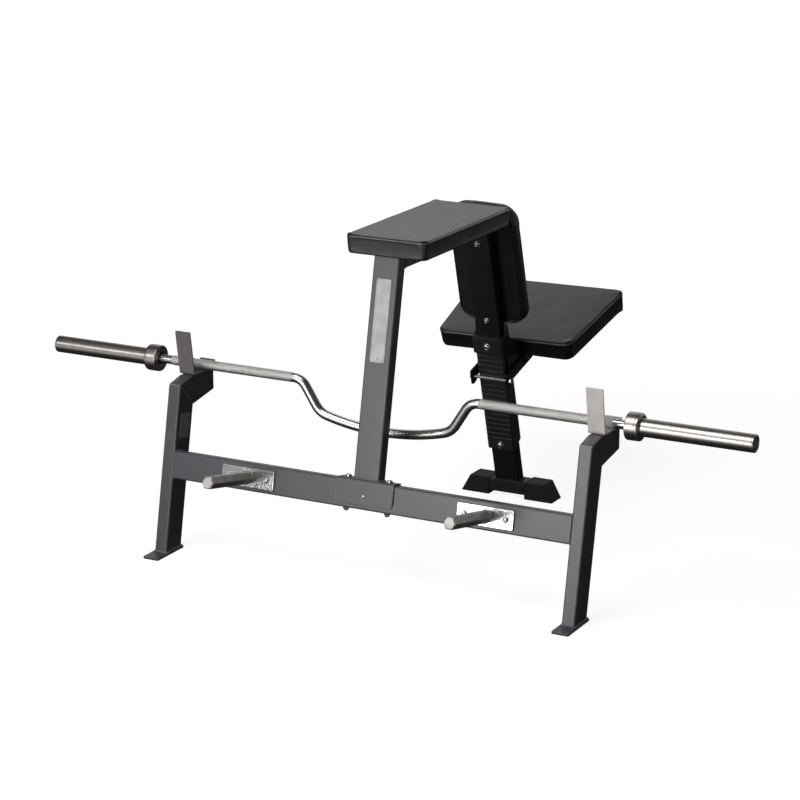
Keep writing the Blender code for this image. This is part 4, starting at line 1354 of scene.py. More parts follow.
@dataclass
class ColumnMount:
    """The saddle over the cross beam, the column, the beam under the chest pad and the badge."""

    wide: float = 0.080
    deep: float = 0.040
    saddle_wide: float = 0.180
    saddle_low: float = 0.244
    saddle_thick: float = 0.005
    saddle_corner: float = 0.010
    beam_top: float = 0.3067
    beam_deep: float = 0.080
    bolts: float = 0.065
    screw: float = 0.2666
    level: float = 0.914
    beam_high: float = 0.035
    post_foot: float = 0.9788
    edge: float = 0.0007
    column_weld: float = 0.0026
    beam_weld: float = 0.0024
    badge_half: float = 0.023
    badge_low: float = 0.640
    badge_high: float = 0.872
    badge_thick: float = 0.0015
    badge_corner: float = 0.006
    badge_rim: float = 0.0005
    label_side: float = -0.6268
    label_box: tuple[float, float, float, float] = (0.015, 0.065, 0.343, 0.416)
    label_thick: float = 0.001

    def build(self) -> None:
        """Builds the saddle, column, top beam, bare plates and fasteners."""
        self.saddle()
        self.column()
        self.top_beam()
        self.badge()
        self.label()
        self.fasteners()

    @property
    def deck(self) -> float:
        """Level of the saddle's top."""
        return self.beam_top + GAP + self.saddle_thick

    def saddle(self) -> None:
        """A plate bent over the beam's top and front."""
        half = self.saddle_thick / 2
        line = [
            (self.deep, self.deck - half),
            (-GAP - half, self.deck - half),
            (-GAP - half, self.saddle_low),
        ]
        outline = strip(line, self.saddle_thick, half + 0.0012)
        side = self.saddle_wide / 2
        form = Form(FRONT).run(outline, -side, side, Run.X, ease=0.0)
        lower = set()
        for edge in form.mesh.edges:
            a, b = (vertex.co for vertex in edge.verts)
            low = max(a.z, b.z) < self.saddle_low + 1e-4
            if low and abs(abs(a.x) - side) < SAME and abs(a.x - b.x) < SAME:
                lower.add(edge)
        form.ease(lower, self.saddle_corner, 6)
        form.ease_sharp(self.edge, 40)
        show(form, "saddle_bend", "frame", FRAME_PAINT, ["column_saddle"])

    def column(self) -> None:
        """The leaning column with the weld at its foot."""
        section = rounded(box_corners(-self.wide / 2, self.wide / 2, 0, self.deep), TUBE_CORNER)
        sine, cosine = math.sin(FRONT_LEAN), math.cos(FRONT_LEAN)
        form = Form(FRONT).run(
            section, self.deck + GAP, lambda u, n: (self.level + n * sine) / cosine, ease=TUBE_RIM
        )
        show(form, "column_tube", "frame", FRAME_PAINT, ["column"])
        side, level = self.wide / 2 + 0.0006, self.deck + 0.0006
        loop = [(-side, -0.0002, level), (side, -0.0002, level), (side, self.deep - 0.001, level)]
        loop.append((-side, self.deep - 0.001, level))
        form = Form(FRONT).bead(loop, self.column_weld, closed=True)
        show(form, "column_weld", "frame", FRAME_PAINT)

    def top_beam(self) -> None:
        """The tube from the column back to the post, welded at both ends."""
        sine, cosine = math.sin(FRONT_LEAN), math.cos(FRONT_LEAN)

        def column_rear(z: float) -> float:
            """Depth of the column's rear face at a height."""
            w = (z + self.deep * sine) / cosine
            return w * sine + self.deep * cosine + GAP

        def post_front(z: float) -> float:
            """Depth of the post's front face at a height."""
            return self.post_foot - z * math.tan(POST_LEAN) - GAP

        low = self.level - self.beam_high
        side = self.wide / 2
        section = rounded(box_corners(-side, side, low, self.level), TUBE_CORNER)
        form = Form(BENCH).run(
            section, lambda u, z: column_rear(z), lambda u, z: post_front(z), Run.Y, ease=TUBE_RIM
        )
        show(form, "top_beam_tube", "frame", FRAME_PAINT, ["top_beam"])
        weld = Form(BENCH)
        for surface, shift in ((column_rear, 0.0008), (post_front, -0.0008)):
            spots = [(-side, self.level - 0.006), (-side, low + 0.004), (-side + 0.004, low - 0.0004)]
            spots += [(side - 0.004, low - 0.0004), (side, low + 0.004), (side, self.level - 0.006)]
            weld.bead([(u, surface(z) + shift, z) for u, z in spots], self.beam_weld)
        show(weld, "top_beam_welds", "frame", FRAME_PAINT)

    def badge(self) -> None:
        """A bare riveted plate on the column's front, with a raised rim."""
        low, high, half, face = self.badge_low, self.badge_high, self.badge_half, -GAP - self.badge_thick
        outline = rounded(box_corners(-half, half, low, high), self.badge_corner)
        plate = Form(FRONT).run(outline, face, -GAP, Run.Y, ease=0.0004)
        inset = 0.0035
        rim = rounded(box_corners(-half + inset, half - inset, low + inset, high - inset), 0.004)
        plate.sweep([Vector((u, face, w)) for u, w in rim], lambda s: self.badge_rim, 6, closed=True)
        for w in (low + 0.010, high - 0.010):
            at = Matrix.Translation((0, face, w)) @ FACING_FRONT
            Fastener(Head.RIVET, 0.0022, 0.0010, False).add(plate, at)
        show(plate, "badge_blank", "frame", BADGE_STEEL, ["name_plate"])

    def label(self) -> None:
        """A small bare plate on the left upright's inner side, with a rivet in each corner."""
        x, inset = self.label_side + GAP, 0.006
        front, back, low, high = self.label_box
        outline = rounded(box_corners(front, back, low, high), 0.003)
        label = Form(FRONT).run(outline, x, x + self.label_thick, Run.X, ease=0.0003)
        for w in (low + inset, high - inset):
            for n in (front + inset, back - inset):
                at = Matrix.Translation((x + self.label_thick, n, w)) @ Side.RIGHT.facing
                Fastener(Head.RIVET, 0.0018, 0.0008, False).add(label, at)
        show(label, "label_blank", "frame", LABEL_PLATE, ["label_plate"])

    def fasteners(self) -> None:
        """Two through bolts with domed nuts and the small front screw."""
        for side in Side:
            x, depth = side.value * self.bolts, self.deep / 2
            form = Form(FRONT)
            above = Matrix.Translation((x, depth, self.deck + GAP))
            Fastener(Head.BUTTON, SMALL_BUTTON).add(form, above)
            below = Matrix.Translation((x, depth, self.beam_top - self.beam_deep - GAP))
            upside_down = Matrix.Rotation(math.pi, 4, "X")
            Fastener(Head.DOMED_NUT, SMALL_BUTTON, NUT_HIGH).add(form, below @ upside_down)
            show(form, "saddle_fastening_" + side.word, "frame", ZINC, ["saddle_bolt_" + side.word])
        form = Form(FRONT)
        at = Matrix.Translation((0, -self.saddle_thick - 2 * GAP, self.screw)) @ FACING_FRONT
        Fastener(Head.BUTTON, 0.0051, 0.0040, False).add(form, at)
        show(form, "saddle_front_screw", "frame", ZINC, ["saddle_screw"])


@dataclass
class RearPost:
    """The leaning post, its cross tube with rubber shoes, and the ribbed sleeve."""

    wide: float = 0.080
    deep: float = 0.040
    level: float = 0.914
    foot_y: float = 0.9788
    tube_deep: float = 0.065
    tube_low: float = 0.012
    tube_high: float = 0.040
    tube_reach: float = 0.120
    shoe_wall: float = 0.0025
    shoe_inner: float = 0.060
    shoe_top: float = 0.125
    shoe_floor: float = 0.155
    sleeve_low: float = 0.173
    sleeve_top: float = 0.564
    sleeve_wall: float = 0.0047
    flange: float = 0.041
    skew: float = 0.017
    crest: float = -0.012
    root: float = -0.006
    rib_start: float = 0.222
    pitch: float = 0.0169
    ribs: int = 17
    crest_wide: float = 0.0078
    root_wide: float = 0.0115
    border: float = 0.003
    rack_bolt: float = 0.187
    pad_bolts: tuple[float, float] = (0.617, 0.874)
    plug_wall: float = 0.002
    weld: float = 0.0026

    def build(self) -> None:
        """Builds the post and everything fixed to it but the pad."""
        self.post()
        self.foot()
        self.sleeve()
        self.fasteners()

    def level_at(self, height: float, n: float) -> float:
        """Distance up the post where depth n reaches a height above the floor."""
        return (height - n * math.sin(POST_LEAN)) / math.cos(POST_LEAN)

    def top(self, n: float) -> float:
        """Distance up the post to its level end, at depth n."""
        return self.level_at(self.level, n)

    def post(self) -> None:
        """The tube, closed by a plug on top, with a weld round its foot."""
        half = self.wide / 2
        section = rounded(box_corners(-half, half, 0, self.deep), TUBE_CORNER)
        base = self.tube_low + self.tube_high
        form = Form(POST).run(
            section, lambda u, n: self.level_at(base + GAP, n), lambda u, n: self.top(n), ease=TUBE_RIM
        )
        show(form, "post_tube", "frame", POST_PAINT, ["rear_post"])
        wall = self.plug_wall
        inner = rounded(box_corners(-half + wall, half - wall, wall, self.deep - wall), 0.004)
        plug = Form(POST).run(
            inner, lambda u, n: self.top(n) - 0.001, lambda u, n: self.top(n) + 0.0015, ease=0.001
        )
        show(plug, "post_plug", "frame", NYLON)
        off = 0.0005
        spots = box_corners(-half - off, half + off, -off, self.deep + off)
        path = [(u, n, self.level_at(base + 0.0008, n)) for u, n in spots]
        weld = Form(POST).bead(path, self.weld, closed=True)
        show(weld, "post_weld", "frame", POST_PAINT)

    def foot(self) -> None:
        """The cross tube and the two shoes with sloping ends."""
        front = self.foot_y - (self.tube_low + self.tube_high) * math.tan(POST_LEAN)
        middle = front + self.tube_deep / 2
        low, high = self.tube_low, self.tube_low + self.tube_high
        section = rounded(box_corners(front, front + self.tube_deep, low, high), TUBE_CORNER)
        tube = Form(BENCH).run(section, -self.tube_reach, self.tube_reach, Run.X, ease=TUBE_RIM)
        show(tube, "foot_tube", "frame", POST_PAINT, ["rear_foot_tube"])
        half = self.tube_deep / 2 + GAP + self.shoe_wall
        top = high + GAP + self.shoe_wall
        for side in Side:
            sign = side.value
            corners = [
                (sign * self.shoe_inner, 0), (sign * self.shoe_floor, 0),
                (sign * self.shoe_top, top), (sign * self.shoe_inner, top),
            ]
            shoe = Form(BENCH).run(
                corners, middle - half, middle + half, Run.Y, ease=0.0022, every_edge=True, steps=3
            )
            near, far = sorted((sign * (self.shoe_inner - 0.010), sign * (self.tube_reach + GAP)))
            pocket = box_corners(near, far, low - GAP, high + GAP)
            inside = Form(BENCH).run(pocket, front - GAP, front + self.tube_deep + GAP, Run.Y, ease=0.0)
            shoe.combine(inside, Keep.OUTSIDE)
            show(shoe, "shoe_" + side.word, "frame", RUBBER, ["rear_foot_cap_" + side.word])

    def sleeve(self) -> None:
        """A nylon channel over the post with a block of ribs on its face."""
        outer = self.wide / 2 + GAP + self.sleeve_wall
        inner = self.wide / 2 + GAP
        section = [
            (-outer, self.root), (outer, self.root), (outer, self.flange), (inner, self.flange),
            (inner, -GAP), (-inner, -GAP), (-inner, self.flange), (-outer, self.flange),
        ]
        slope = self.skew / self.flange
        shell = Form(POST).run(
            section, lambda u, n: self.sleeve_low + slope * max(n, 0.0), self.sleeve_top,
            ease=0.0011, every_edge=True,
        )
        show(shell, "rack_channel", "frame", NYLON, ["rack_sleeve"])
        flank = (self.root_wide - self.crest_wide) / 2
        edge = outer - self.border
        root = self.root + 0.0004
        for number, (low, high) in enumerate(self.teeth()):
            crest_low = low if low == self.sleeve_low else low + flank
            crest_high = high if high == self.sleeve_top else high - flank
            profile = [(root, low), (root, high), (self.crest, crest_high), (self.crest, crest_low)]
            rib = Form(POST).run(profile, -edge, edge, Run.X, ease=0.0009, every_edge=True)
            show(rib, f"rack_rib_{number:02d}", "frame", NYLON)

    def teeth(self) -> list[tuple[float, float]]:
        """Divides the sleeve's face into blocks.

        Returns:
            The root span of each block, from the sleeve's foot to its top.
        """
        spans = [(self.sleeve_low, self.rib_start - (self.pitch - self.root_wide))]
        for index in range(self.ribs):
            start = self.rib_start + index * self.pitch
            spans.append((start, start + self.root_wide))
        spans.append((self.rib_start + self.ribs * self.pitch, self.sleeve_top))
        return spans

    def fasteners(self) -> None:
        """The sleeve's bolt and the two that hold the thigh pad."""
        form = Form(POST)
        at = Matrix.Translation((0, self.crest - GAP, self.rack_bolt)) @ FACING_FRONT
        Fastener(Head.BUTTON, LARGE_BUTTON, LARGE_BUTTON_HIGH).add(form, at)
        show(form, "rack_button", "frame", ZINC, ["rack_bolt"])
        for name, w in zip(("lower", "upper"), self.pad_bolts):
            form = Form(POST)
            at = Matrix.Translation((0, -GAP, w)) @ FACING_FRONT
            Fastener(Head.BUTTON, SMALL_BUTTON).add(form, at)
            show(form, "thigh_button_" + name, "frame", ZINC, ["thigh_bolt_" + name])


@dataclass
class Cushion:
    """An upholstered pad: a crowned top panel sewn to a side band, over a board."""

    name: str
    node: str
    body: str
    axes: Matrix
    front_half: float
    back_half: float
    length: float
    thick: float
    corner: float
    roll: float
    crown: float
    puff: float
    seam_drop: float
    draw_in: float
    arch: float = 0.0
    slope: float = 0.0
    droop: float = 0.0
    cell: float = 0.0085
    board: float = 0.0118
    bottom: float = 0.007
    welt: float = 0.0024
    thread: float = 0.00042
    stitch: float = 0.0058
    seam: list[Vector] = field(default_factory=list)

    def spot(self, s: float, t: float, inset: float) -> Point2:
        """A point of the pad's plan.

        Args:
            s: place across, from -1 to 1.
            t: place along, from -1 to 1.
            inset: how far the outline is moved in.

        Returns:
            The point in the pad's own axes.
        """
        half_x = (self.front_half + self.back_half) / 2 - inset
        half_y = self.length / 2 - inset
        radius = max(self.corner - inset, self.corner * 0.35)
        x, y = s * half_x, t * half_y
        u = (abs(x) - (half_x - radius)) / radius
        v = (abs(y) - (half_y - radius)) / radius
        if u > 0 and v > 0:
            round_u, round_v = u * math.sqrt(1 - v * v / 2), v * math.sqrt(1 - u * u / 2)
            x = math.copysign(half_x - radius + radius * round_u, x)
            y = math.copysign(half_y - radius + radius * round_v, y)
        if y < 0:
            y *= 1 + self.arch / half_y * (1 - (x / half_x) ** 2)
        widen = (self.back_half - self.front_half) / (self.back_half + self.front_half)
        return x * (1 + widen * 2 * y / self.length), y

    def levels(self) -> list[tuple[float, float]]:
        """Draws the side: roll, the seam's groove (loop 4), the welt's seat (loop 5), band and recess.

        Returns:
            Inset and height of each loop below the top panel, down to the recess for the board.
        """
        edge = self.thick - self.crown
        arc = [math.radians(angle) for angle in (62, 38, 16)]
        loops = [(self.roll * (1 - math.cos(a)), edge - self.roll * (1 - math.sin(a))) for a in arc]
        seam, bottom = edge - self.seam_drop, self.bottom
        band = seam - 0.0028
        loops += [(0.0002, seam + 0.0036), (0.0052, seam + 0.0022), (0.0014, seam - 0.0006), (0.0002, band)]
        rows = max(2, round((band - bottom) / 0.007))
        for row in range(1, rows):
            share = row / rows
            loops.append((self.draw_in * share, band + (bottom - band) * share))
        loops += [(self.draw_in, bottom), (self.draw_in + 0.0012, 0.0028), (self.draw_in + 0.0040, 0.0004)]
        loops += [(self.board - 0.0001, 0.0), (self.board - 0.0001, self.board - 0.0002)]
        return loops

    def build(self) -> None:
        """Builds the cushion, puffs it up, and sews its seam."""
        mesh = bmesh.new()
        columns = 2 * round((self.front_half + self.back_half) / self.cell / 2)
        rows = 2 * round(self.length / self.cell / 2)
        border = self.border(columns, rows)
        top = self.panel(mesh, columns, rows)
        held: set[int] = set()
        seam_loop: list[int] = []
        upper = [top[j][i] for i, j in border]
        for number, (inset, height) in enumerate(self.levels()):
            lower = []
            for i, j in border:
                spot = self.spot(2 * i / columns - 1, 2 * j / rows - 1, inset)
                lower.append(mesh.verts.new((*spot, height)))
            for index in range(len(border)):
                mesh.faces.new((upper[index - 1], upper[index], lower[index], lower[index - 1]))
            mesh.verts.index_update()
            if number == 5:
                seam_loop = [vertex.index for vertex in lower]
            if number in (4, 5) or height <= 0.0045:
                held |= {vertex.index for vertex in lower}
            upper = lower
        self.close(mesh, upper, columns, rows)
        bmesh.ops.recalc_face_normals(mesh, faces=mesh.faces)
        data = bpy.data.meshes.new(self.name)
        mesh.to_mesh(data)
        mesh.free()
        self.inflate(data, held)
        self.wrinkle(data, held)
        self.lean(data)
        self.seam = [self.axes @ data.vertices[index].co for index in seam_loop]
        data.transform(self.axes)
        cushion = show_mesh(data, self.name, self.body, VINYL, [self.node], 80)
        smooth = cushion.modifiers.new("smooth", "SUBSURF")
        smooth.levels = 1
        smooth.render_levels = 1
        cushion.modifiers.move(1, 0)
        self.sew()

    def border(self, columns: int, rows: int) -> list[tuple[int, int]]:
        """Goes round a grid, anticlockwise.

        Args:
            columns: faces across.
            rows: faces along.

        Returns:
            Column and row of each point of its border.
        """
        lower = [(i, 0) for i in range(columns)]
        right = [(columns, j) for j in range(rows)]
        upper = [(i, rows) for i in range(columns, 0, -1)]
        left = [(0, j) for j in range(rows, 0, -1)]
        return lower + right + upper + left

    def panel(self, mesh: bmesh.types.BMesh, columns: int, rows: int) -> list[list]:
        """Lays the grid of the top panel, crowned towards its middle.

        Args:
            mesh: what it is built in.
            columns: faces across.
            rows: faces along.

        Returns:
            Its vertices, row by row.
        """
        edge = self.thick - self.crown
        grid = []
        for j in range(rows + 1):
            line = []
            for i in range(columns + 1):
                s, t = 2 * i / columns - 1, 2 * j / rows - 1
                x, y = self.spot(s, t, self.roll)
                near = min(1 - abs(s), 1 - abs(t))
                rise = self.crown * math.sin(math.pi / 2 * min(1.0, near / 0.5))
                line.append(mesh.verts.new((x, y, edge + rise)))
            grid.append(line)
        for j in range(rows):
            for i in range(columns):
                mesh.faces.new((grid[j][i], grid[j][i + 1], grid[j + 1][i + 1], grid[j + 1][i]))
        return grid

    def close(self, mesh: bmesh.types.BMesh, rim: list, columns: int, rows: int) -> None:
        """Closes the recess over the board with a grid like the top panel's.

        Args:
            mesh: what it is built in.
            rim: the recess's last loop of vertices.
            columns: faces across.
            rows: faces along.
        """
        inset, height = self.levels()[-1]
        grid = [[None] * (columns + 1) for _ in range(rows + 1)]
        for (i, j), vertex in zip(self.border(columns, rows), rim):
            grid[j][i] = vertex
        for j in range(1, rows):
            for i in range(1, columns):
                spot = self.spot(2 * i / columns - 1, 2 * j / rows - 1, inset)
                grid[j][i] = mesh.verts.new((*spot, height))
        for j in range(rows):
            for i in range(columns):
                mesh.faces.new((grid[j][i], grid[j + 1][i], grid[j + 1][i + 1], grid[j][i + 1]))

    def inflate(self, data: bpy.types.Mesh, held: set[int]) -> None:
        """Puffs the cover with cloth simulation, between the seam and the board.

        Args:
            data: the cushion's mesh in its own axes, which takes the new shape.
            held: vertices that the seam or the board holds.
        """
        start = np.array([vertex.co for vertex in data.vertices])
        cover = bpy.data.objects.new("cover", data.copy())
        bpy.context.scene.collection.objects.link(cover)
        group = cover.vertex_groups.new(name="held")
        group.add(sorted(held), 1.0, "ADD")
        cloth = cover.modifiers.new("cloth", "CLOTH")
        settings = cloth.settings
        settings.vertex_group_mass = "held"
        settings.use_pressure = True
        settings.uniform_pressure_force = 4.0
        settings.effector_weights.gravity = 0.0
        settings.tension_stiffness = 25.0
        settings.compression_stiffness = 25.0
        settings.shear_stiffness = 12.0
        settings.quality = 5
        frames = 20
        cloth.point_cache.frame_end = frames
        scene = bpy.context.scene
        for step in range(1, frames + 1):
            scene.frame_set(step)
        graph = bpy.context.evaluated_depsgraph_get()
        moved = bpy.data.meshes.new_from_object(cover.evaluated_get(graph))
        shift = np.array([vertex.co for vertex in moved.vertices]) - start
        size = np.linalg.norm(shift, axis=1)
        scene.frame_set(1)
        bpy.data.objects.remove(cover, do_unlink=True)
        kept = self.puff * np.tanh(size / self.puff) / np.maximum(size, 1e-9)
        data.vertices.foreach_set("co", (start + shift * kept[:, None]).astype(np.float32).ravel())
        log.info("%s: cover moved %.1f mm at most", self.name, 1000 * float((size * kept).max()))

    def lean(self, data: bpy.types.Mesh) -> None:
        """Stuffs the cover unevenly: lower on the left, hanging at the rear edge, level over the board.

        Args:
            data: the cushion's mesh in its own axes.
        """
        for vertex in data.vertices:
            x, y, z = vertex.co
            half = self.front_half + (self.back_half - self.front_half) * (y / self.length + 0.5)
            depth = min(half - abs(x), self.length / 2 - abs(y))
            if depth > self.board - 0.0015 and z < self.board + 0.001:
                continue
            share = min(1.0, max(0.0, z / self.thick))
            rear = min(1.0, max(0.0, (y - self.length / 2 + 0.050) / 0.040))
            rear *= rear * (3 - 2 * rear) * max(0.0, 1 - 1.5 * share)
            vertex.co.z += self.slope * x * (share if x > 0 else 1.0) - self.droop * rear
            vertex.co.y += 0.4 * self.droop * rear

    def wrinkle(self, data: bpy.types.Mesh, held: set[int]) -> None:
        """Adds the slight waves of a stretched cover and the gathers round its corners.

        Args:
            data: the cushion's mesh in its own axes.
            held: vertices that the seam or the board holds.
        """
        for vertex in data.vertices:
            if vertex.index in held or vertex.co.z < 0.006:
                continue
            x, y, z = vertex.co
            wave = noise.noise((x * 17, y * 17, z * 30)) * 0.0005
            wave += noise.noise((x * 55, y * 55, 4.0)) * 0.00018
            side = min(1.0, max(0.0, (self.thick - self.crown - self.seam_drop - z) / 0.01))
            half_y = self.length / 2 - self.corner
            half_x = min(self.front_half, self.back_half) - self.corner
            if abs(x) > half_x and abs(y) > half_y:
                angle = math.atan2(abs(y) - half_y, abs(x) - half_x)
                wave += side * 0.0005 * math.sin(angle * 13)
            vertex.co += vertex.normal * wave

    def sew(self) -> None:
        """Lays the welt in the seam and a row of stitches under it."""
        welt = Form(Matrix.Identity(4)).sweep(self.seam, lambda s: self.welt, 8, closed=True)
        # The welt's lighter vinyl is a painted highlight.
        show(welt, self.name + "_welt", self.body, WELT_VINYL_PAINTED_HIGHLIGHT, sharp=80)
        up = (self.axes.to_3x3() @ Vector((0, 0, 1))).normalized()
        centre = self.axes @ Vector((0, 0, self.thick / 2))
        stitches = Form(Matrix.Identity(4))
        travelled, due = 0.0, 0.0
        for start, stop in zip(self.seam, self.seam[1:] + self.seam[:1]):
            step = (stop - start).length
            while due < travelled + step:
                spot = start.lerp(stop, (due - travelled) / step)
                along = (stop - start).normalized()
                away = along.cross(up)
                if away.dot(spot - centre) < 0:
                    away.negate()
                middle = spot + up * -0.0046 + away * 0.0023
                half, dip = along * 0.0018, away * 0.0006
                stitches.sweep([middle - half - dip, middle, middle + half - dip], lambda s: self.thread, 5)
                due += self.stitch
            travelled += step
        show(stitches, self.name + "_stitches", self.body, THREAD)


@dataclass
class Carriage:
    """The bracket that slides on the post under the knee pad."""

    inner: float = 0.046
    thick: float = 0.005
    front: float = -0.018
    bend: float = 0.008
    back: float = 0.300
    strap_low: float = 0.511
    strap_top: float = 0.558
    wing_top: float = 0.601
    wing_low: float = 0.425
    seat: float = 0.459
    knee_front: float = 0.084
    bolt: float = 0.5355
    pivot: tuple[float, float] = (0.100, 0.438)
    pin: float = 0.005
    arms_outer: float = 0.062
    edge: float = 0.0008

    def build(self) -> None:
        """Builds the bracket and its fasteners, and dresses the hidden solids."""
        middle = self.inner + self.thick / 2
        face = self.front + self.thick / 2
        line = [(-middle, self.back), (-middle, face), (middle, face), (middle, self.back)]
        outline = strip(line, self.thick, self.bend)
        form = Form(POST).run(outline, self.wing_low - 0.01, self.wing_top + 0.01, ease=0.0)
        form.combine(Form(POST).run(self.wing(), -0.07, 0.07, Run.X, ease=0.0), Keep.SHARED)
        form.ease_sharp(self.edge, 30)
        show(form, "carriage_plate", "knee_carriage", CARRIAGE_PAINT, ["carriage_bracket"])
        button = Form(POST)
        at = Matrix.Translation((0, self.front - GAP, self.bolt)) @ FACING_FRONT
        Fastener(Head.BUTTON, LARGE_BUTTON, LARGE_BUTTON_HIGH).add(button, at)
        show(button, "carriage_button", "knee_carriage", ZINC, ["carriage_bolt"])
        pin = Form(POST)
        n, w = self.pivot
        heads = (
            Fastener(Head.BUTTON, SMALL_BUTTON, washer=False),
            Fastener(Head.DOMED_NUT, SMALL_BUTTON, NUT_HIGH, washer=False),
        )
        for side, head in zip(Side, heads):
            head.add(pin, Matrix.Translation((side.value * (self.arms_outer + GAP), n, w)) @ side.facing)
        across = Matrix.Translation((0, n, w)) @ Side.RIGHT.facing
        pin.turn([Ring(self.pin, self.arms_outer), Ring(self.pin, -self.arms_outer)], across, steps=24)
        show(pin, "latch_pin", "knee_carriage", BLACK_ZINC, ["latch_pivot"])
        dress_solid("seat_plate", POST_PAINT)
        dress_solid("guide_block", NYLON)

    def wing(self) -> list[Point2]:
        """Draws the side view of the bracket.

        Returns:
            The outline: strap, cheeks and the arms under the seat.
        """
        inside = self.front + self.thick + 0.0002
        top = self.seat - GAP
        cheek = self.knee_front - 0.004
        return [
            (self.front - 0.005, self.strap_low), (inside, self.strap_low), (0.012, self.strap_low - 0.012),
            (0.012, self.wing_low), (0.100, self.wing_low), (self.back + 0.005, top - 0.014),
            (self.back + 0.005, top), (cheek, top), (cheek, 0.506), (0.050, 0.523), (0.036, 0.546),
            (0.031, self.wing_top - 0.003), (0.022, self.wing_top), (0.017, self.wing_top - 0.030),
            (inside, self.strap_top), (self.front - 0.005, self.strap_top),
        ]


@dataclass
class Latch:
    """The bail: two arms and the rod that works against the ribs."""

    inner: float = 0.056
    thick: float = 0.006
    front: float = -0.032
    back: float = 0.150
    low: float = 0.421
    top: float = 0.453
    nose: float = 0.406
    rod_n: float = -0.0185
    rod_w: float = 0.4285
    rod: float = 0.005
    nut: float = 0.0076
    nut_face: float = 0.0068
    nut_long: float = 0.0080

    def build(self) -> None:
        """Builds the arms, the rod with its head, and the nut."""
        corners = [
            (self.front, self.top), (self.front, self.nose), (-0.008, self.nose),
            (0.010, self.low), (self.back, self.low), (self.back, self.top),
        ]
        outline = rounded(corners, 0.006, steps=5)
        for side in Side:
            near, far = sorted((side.value * self.inner, side.value * (self.inner + self.thick)))
            arm = Form(POST).run(outline, near, far, Run.X, ease=0.0008)
            show(arm, "bail_arm_" + side.word, "knee_latch", POST_PAINT, ["latch_arm_" + side.word])
        outer = self.inner + self.thick + GAP
        across = Matrix.Translation((0, self.rod_n, self.rod_w)) @ Side.RIGHT.facing
        end = outer + 0.0092
        rod = Form(POST).turn(
            [Ring(self.rod - 0.0008, end), Ring(self.rod, end - 0.0008), Ring(self.rod, -outer)],
            across, steps=28,
        )
        seat = Matrix.Translation((-outer, self.rod_n, self.rod_w)) @ Side.LEFT.facing
        Fastener(Head.BUTTON, SMALL_BUTTON, washer=False).add(rod, seat)
        for turn in range(4):
            rod.turn(self.thread(outer + 0.0076 + turn * 0.0004), across, steps=28)
        show(rod, "bail_rod", "knee_latch", DULL_ZINC, ["latch_rod"])
        bore, face, half, long = self.rod + GAP, self.nut_face, self.nut, self.nut_long
        nut = Form(POST).turn(
            [
                Ring(bore, outer + long - 0.0004), Ring(face, outer + long),
                Ring(half, outer + long - 0.0010, True), Ring(half, outer + 0.0008, True),
                Ring(face, outer), Ring(bore, outer),
            ],
            across, closed=True, steps=48,
        )
        show(nut, "bail_nut", "knee_latch", ZINC, ["latch_nut"], 25)

    def thread(self, height: float) -> list[Ring]:
        """One turn of thread at the rod's end."""
        ridge = Ring(self.rod + 0.00025, height + 0.00015)
        return [Ring(self.rod, height + 0.0003), ridge, Ring(self.rod, height)]


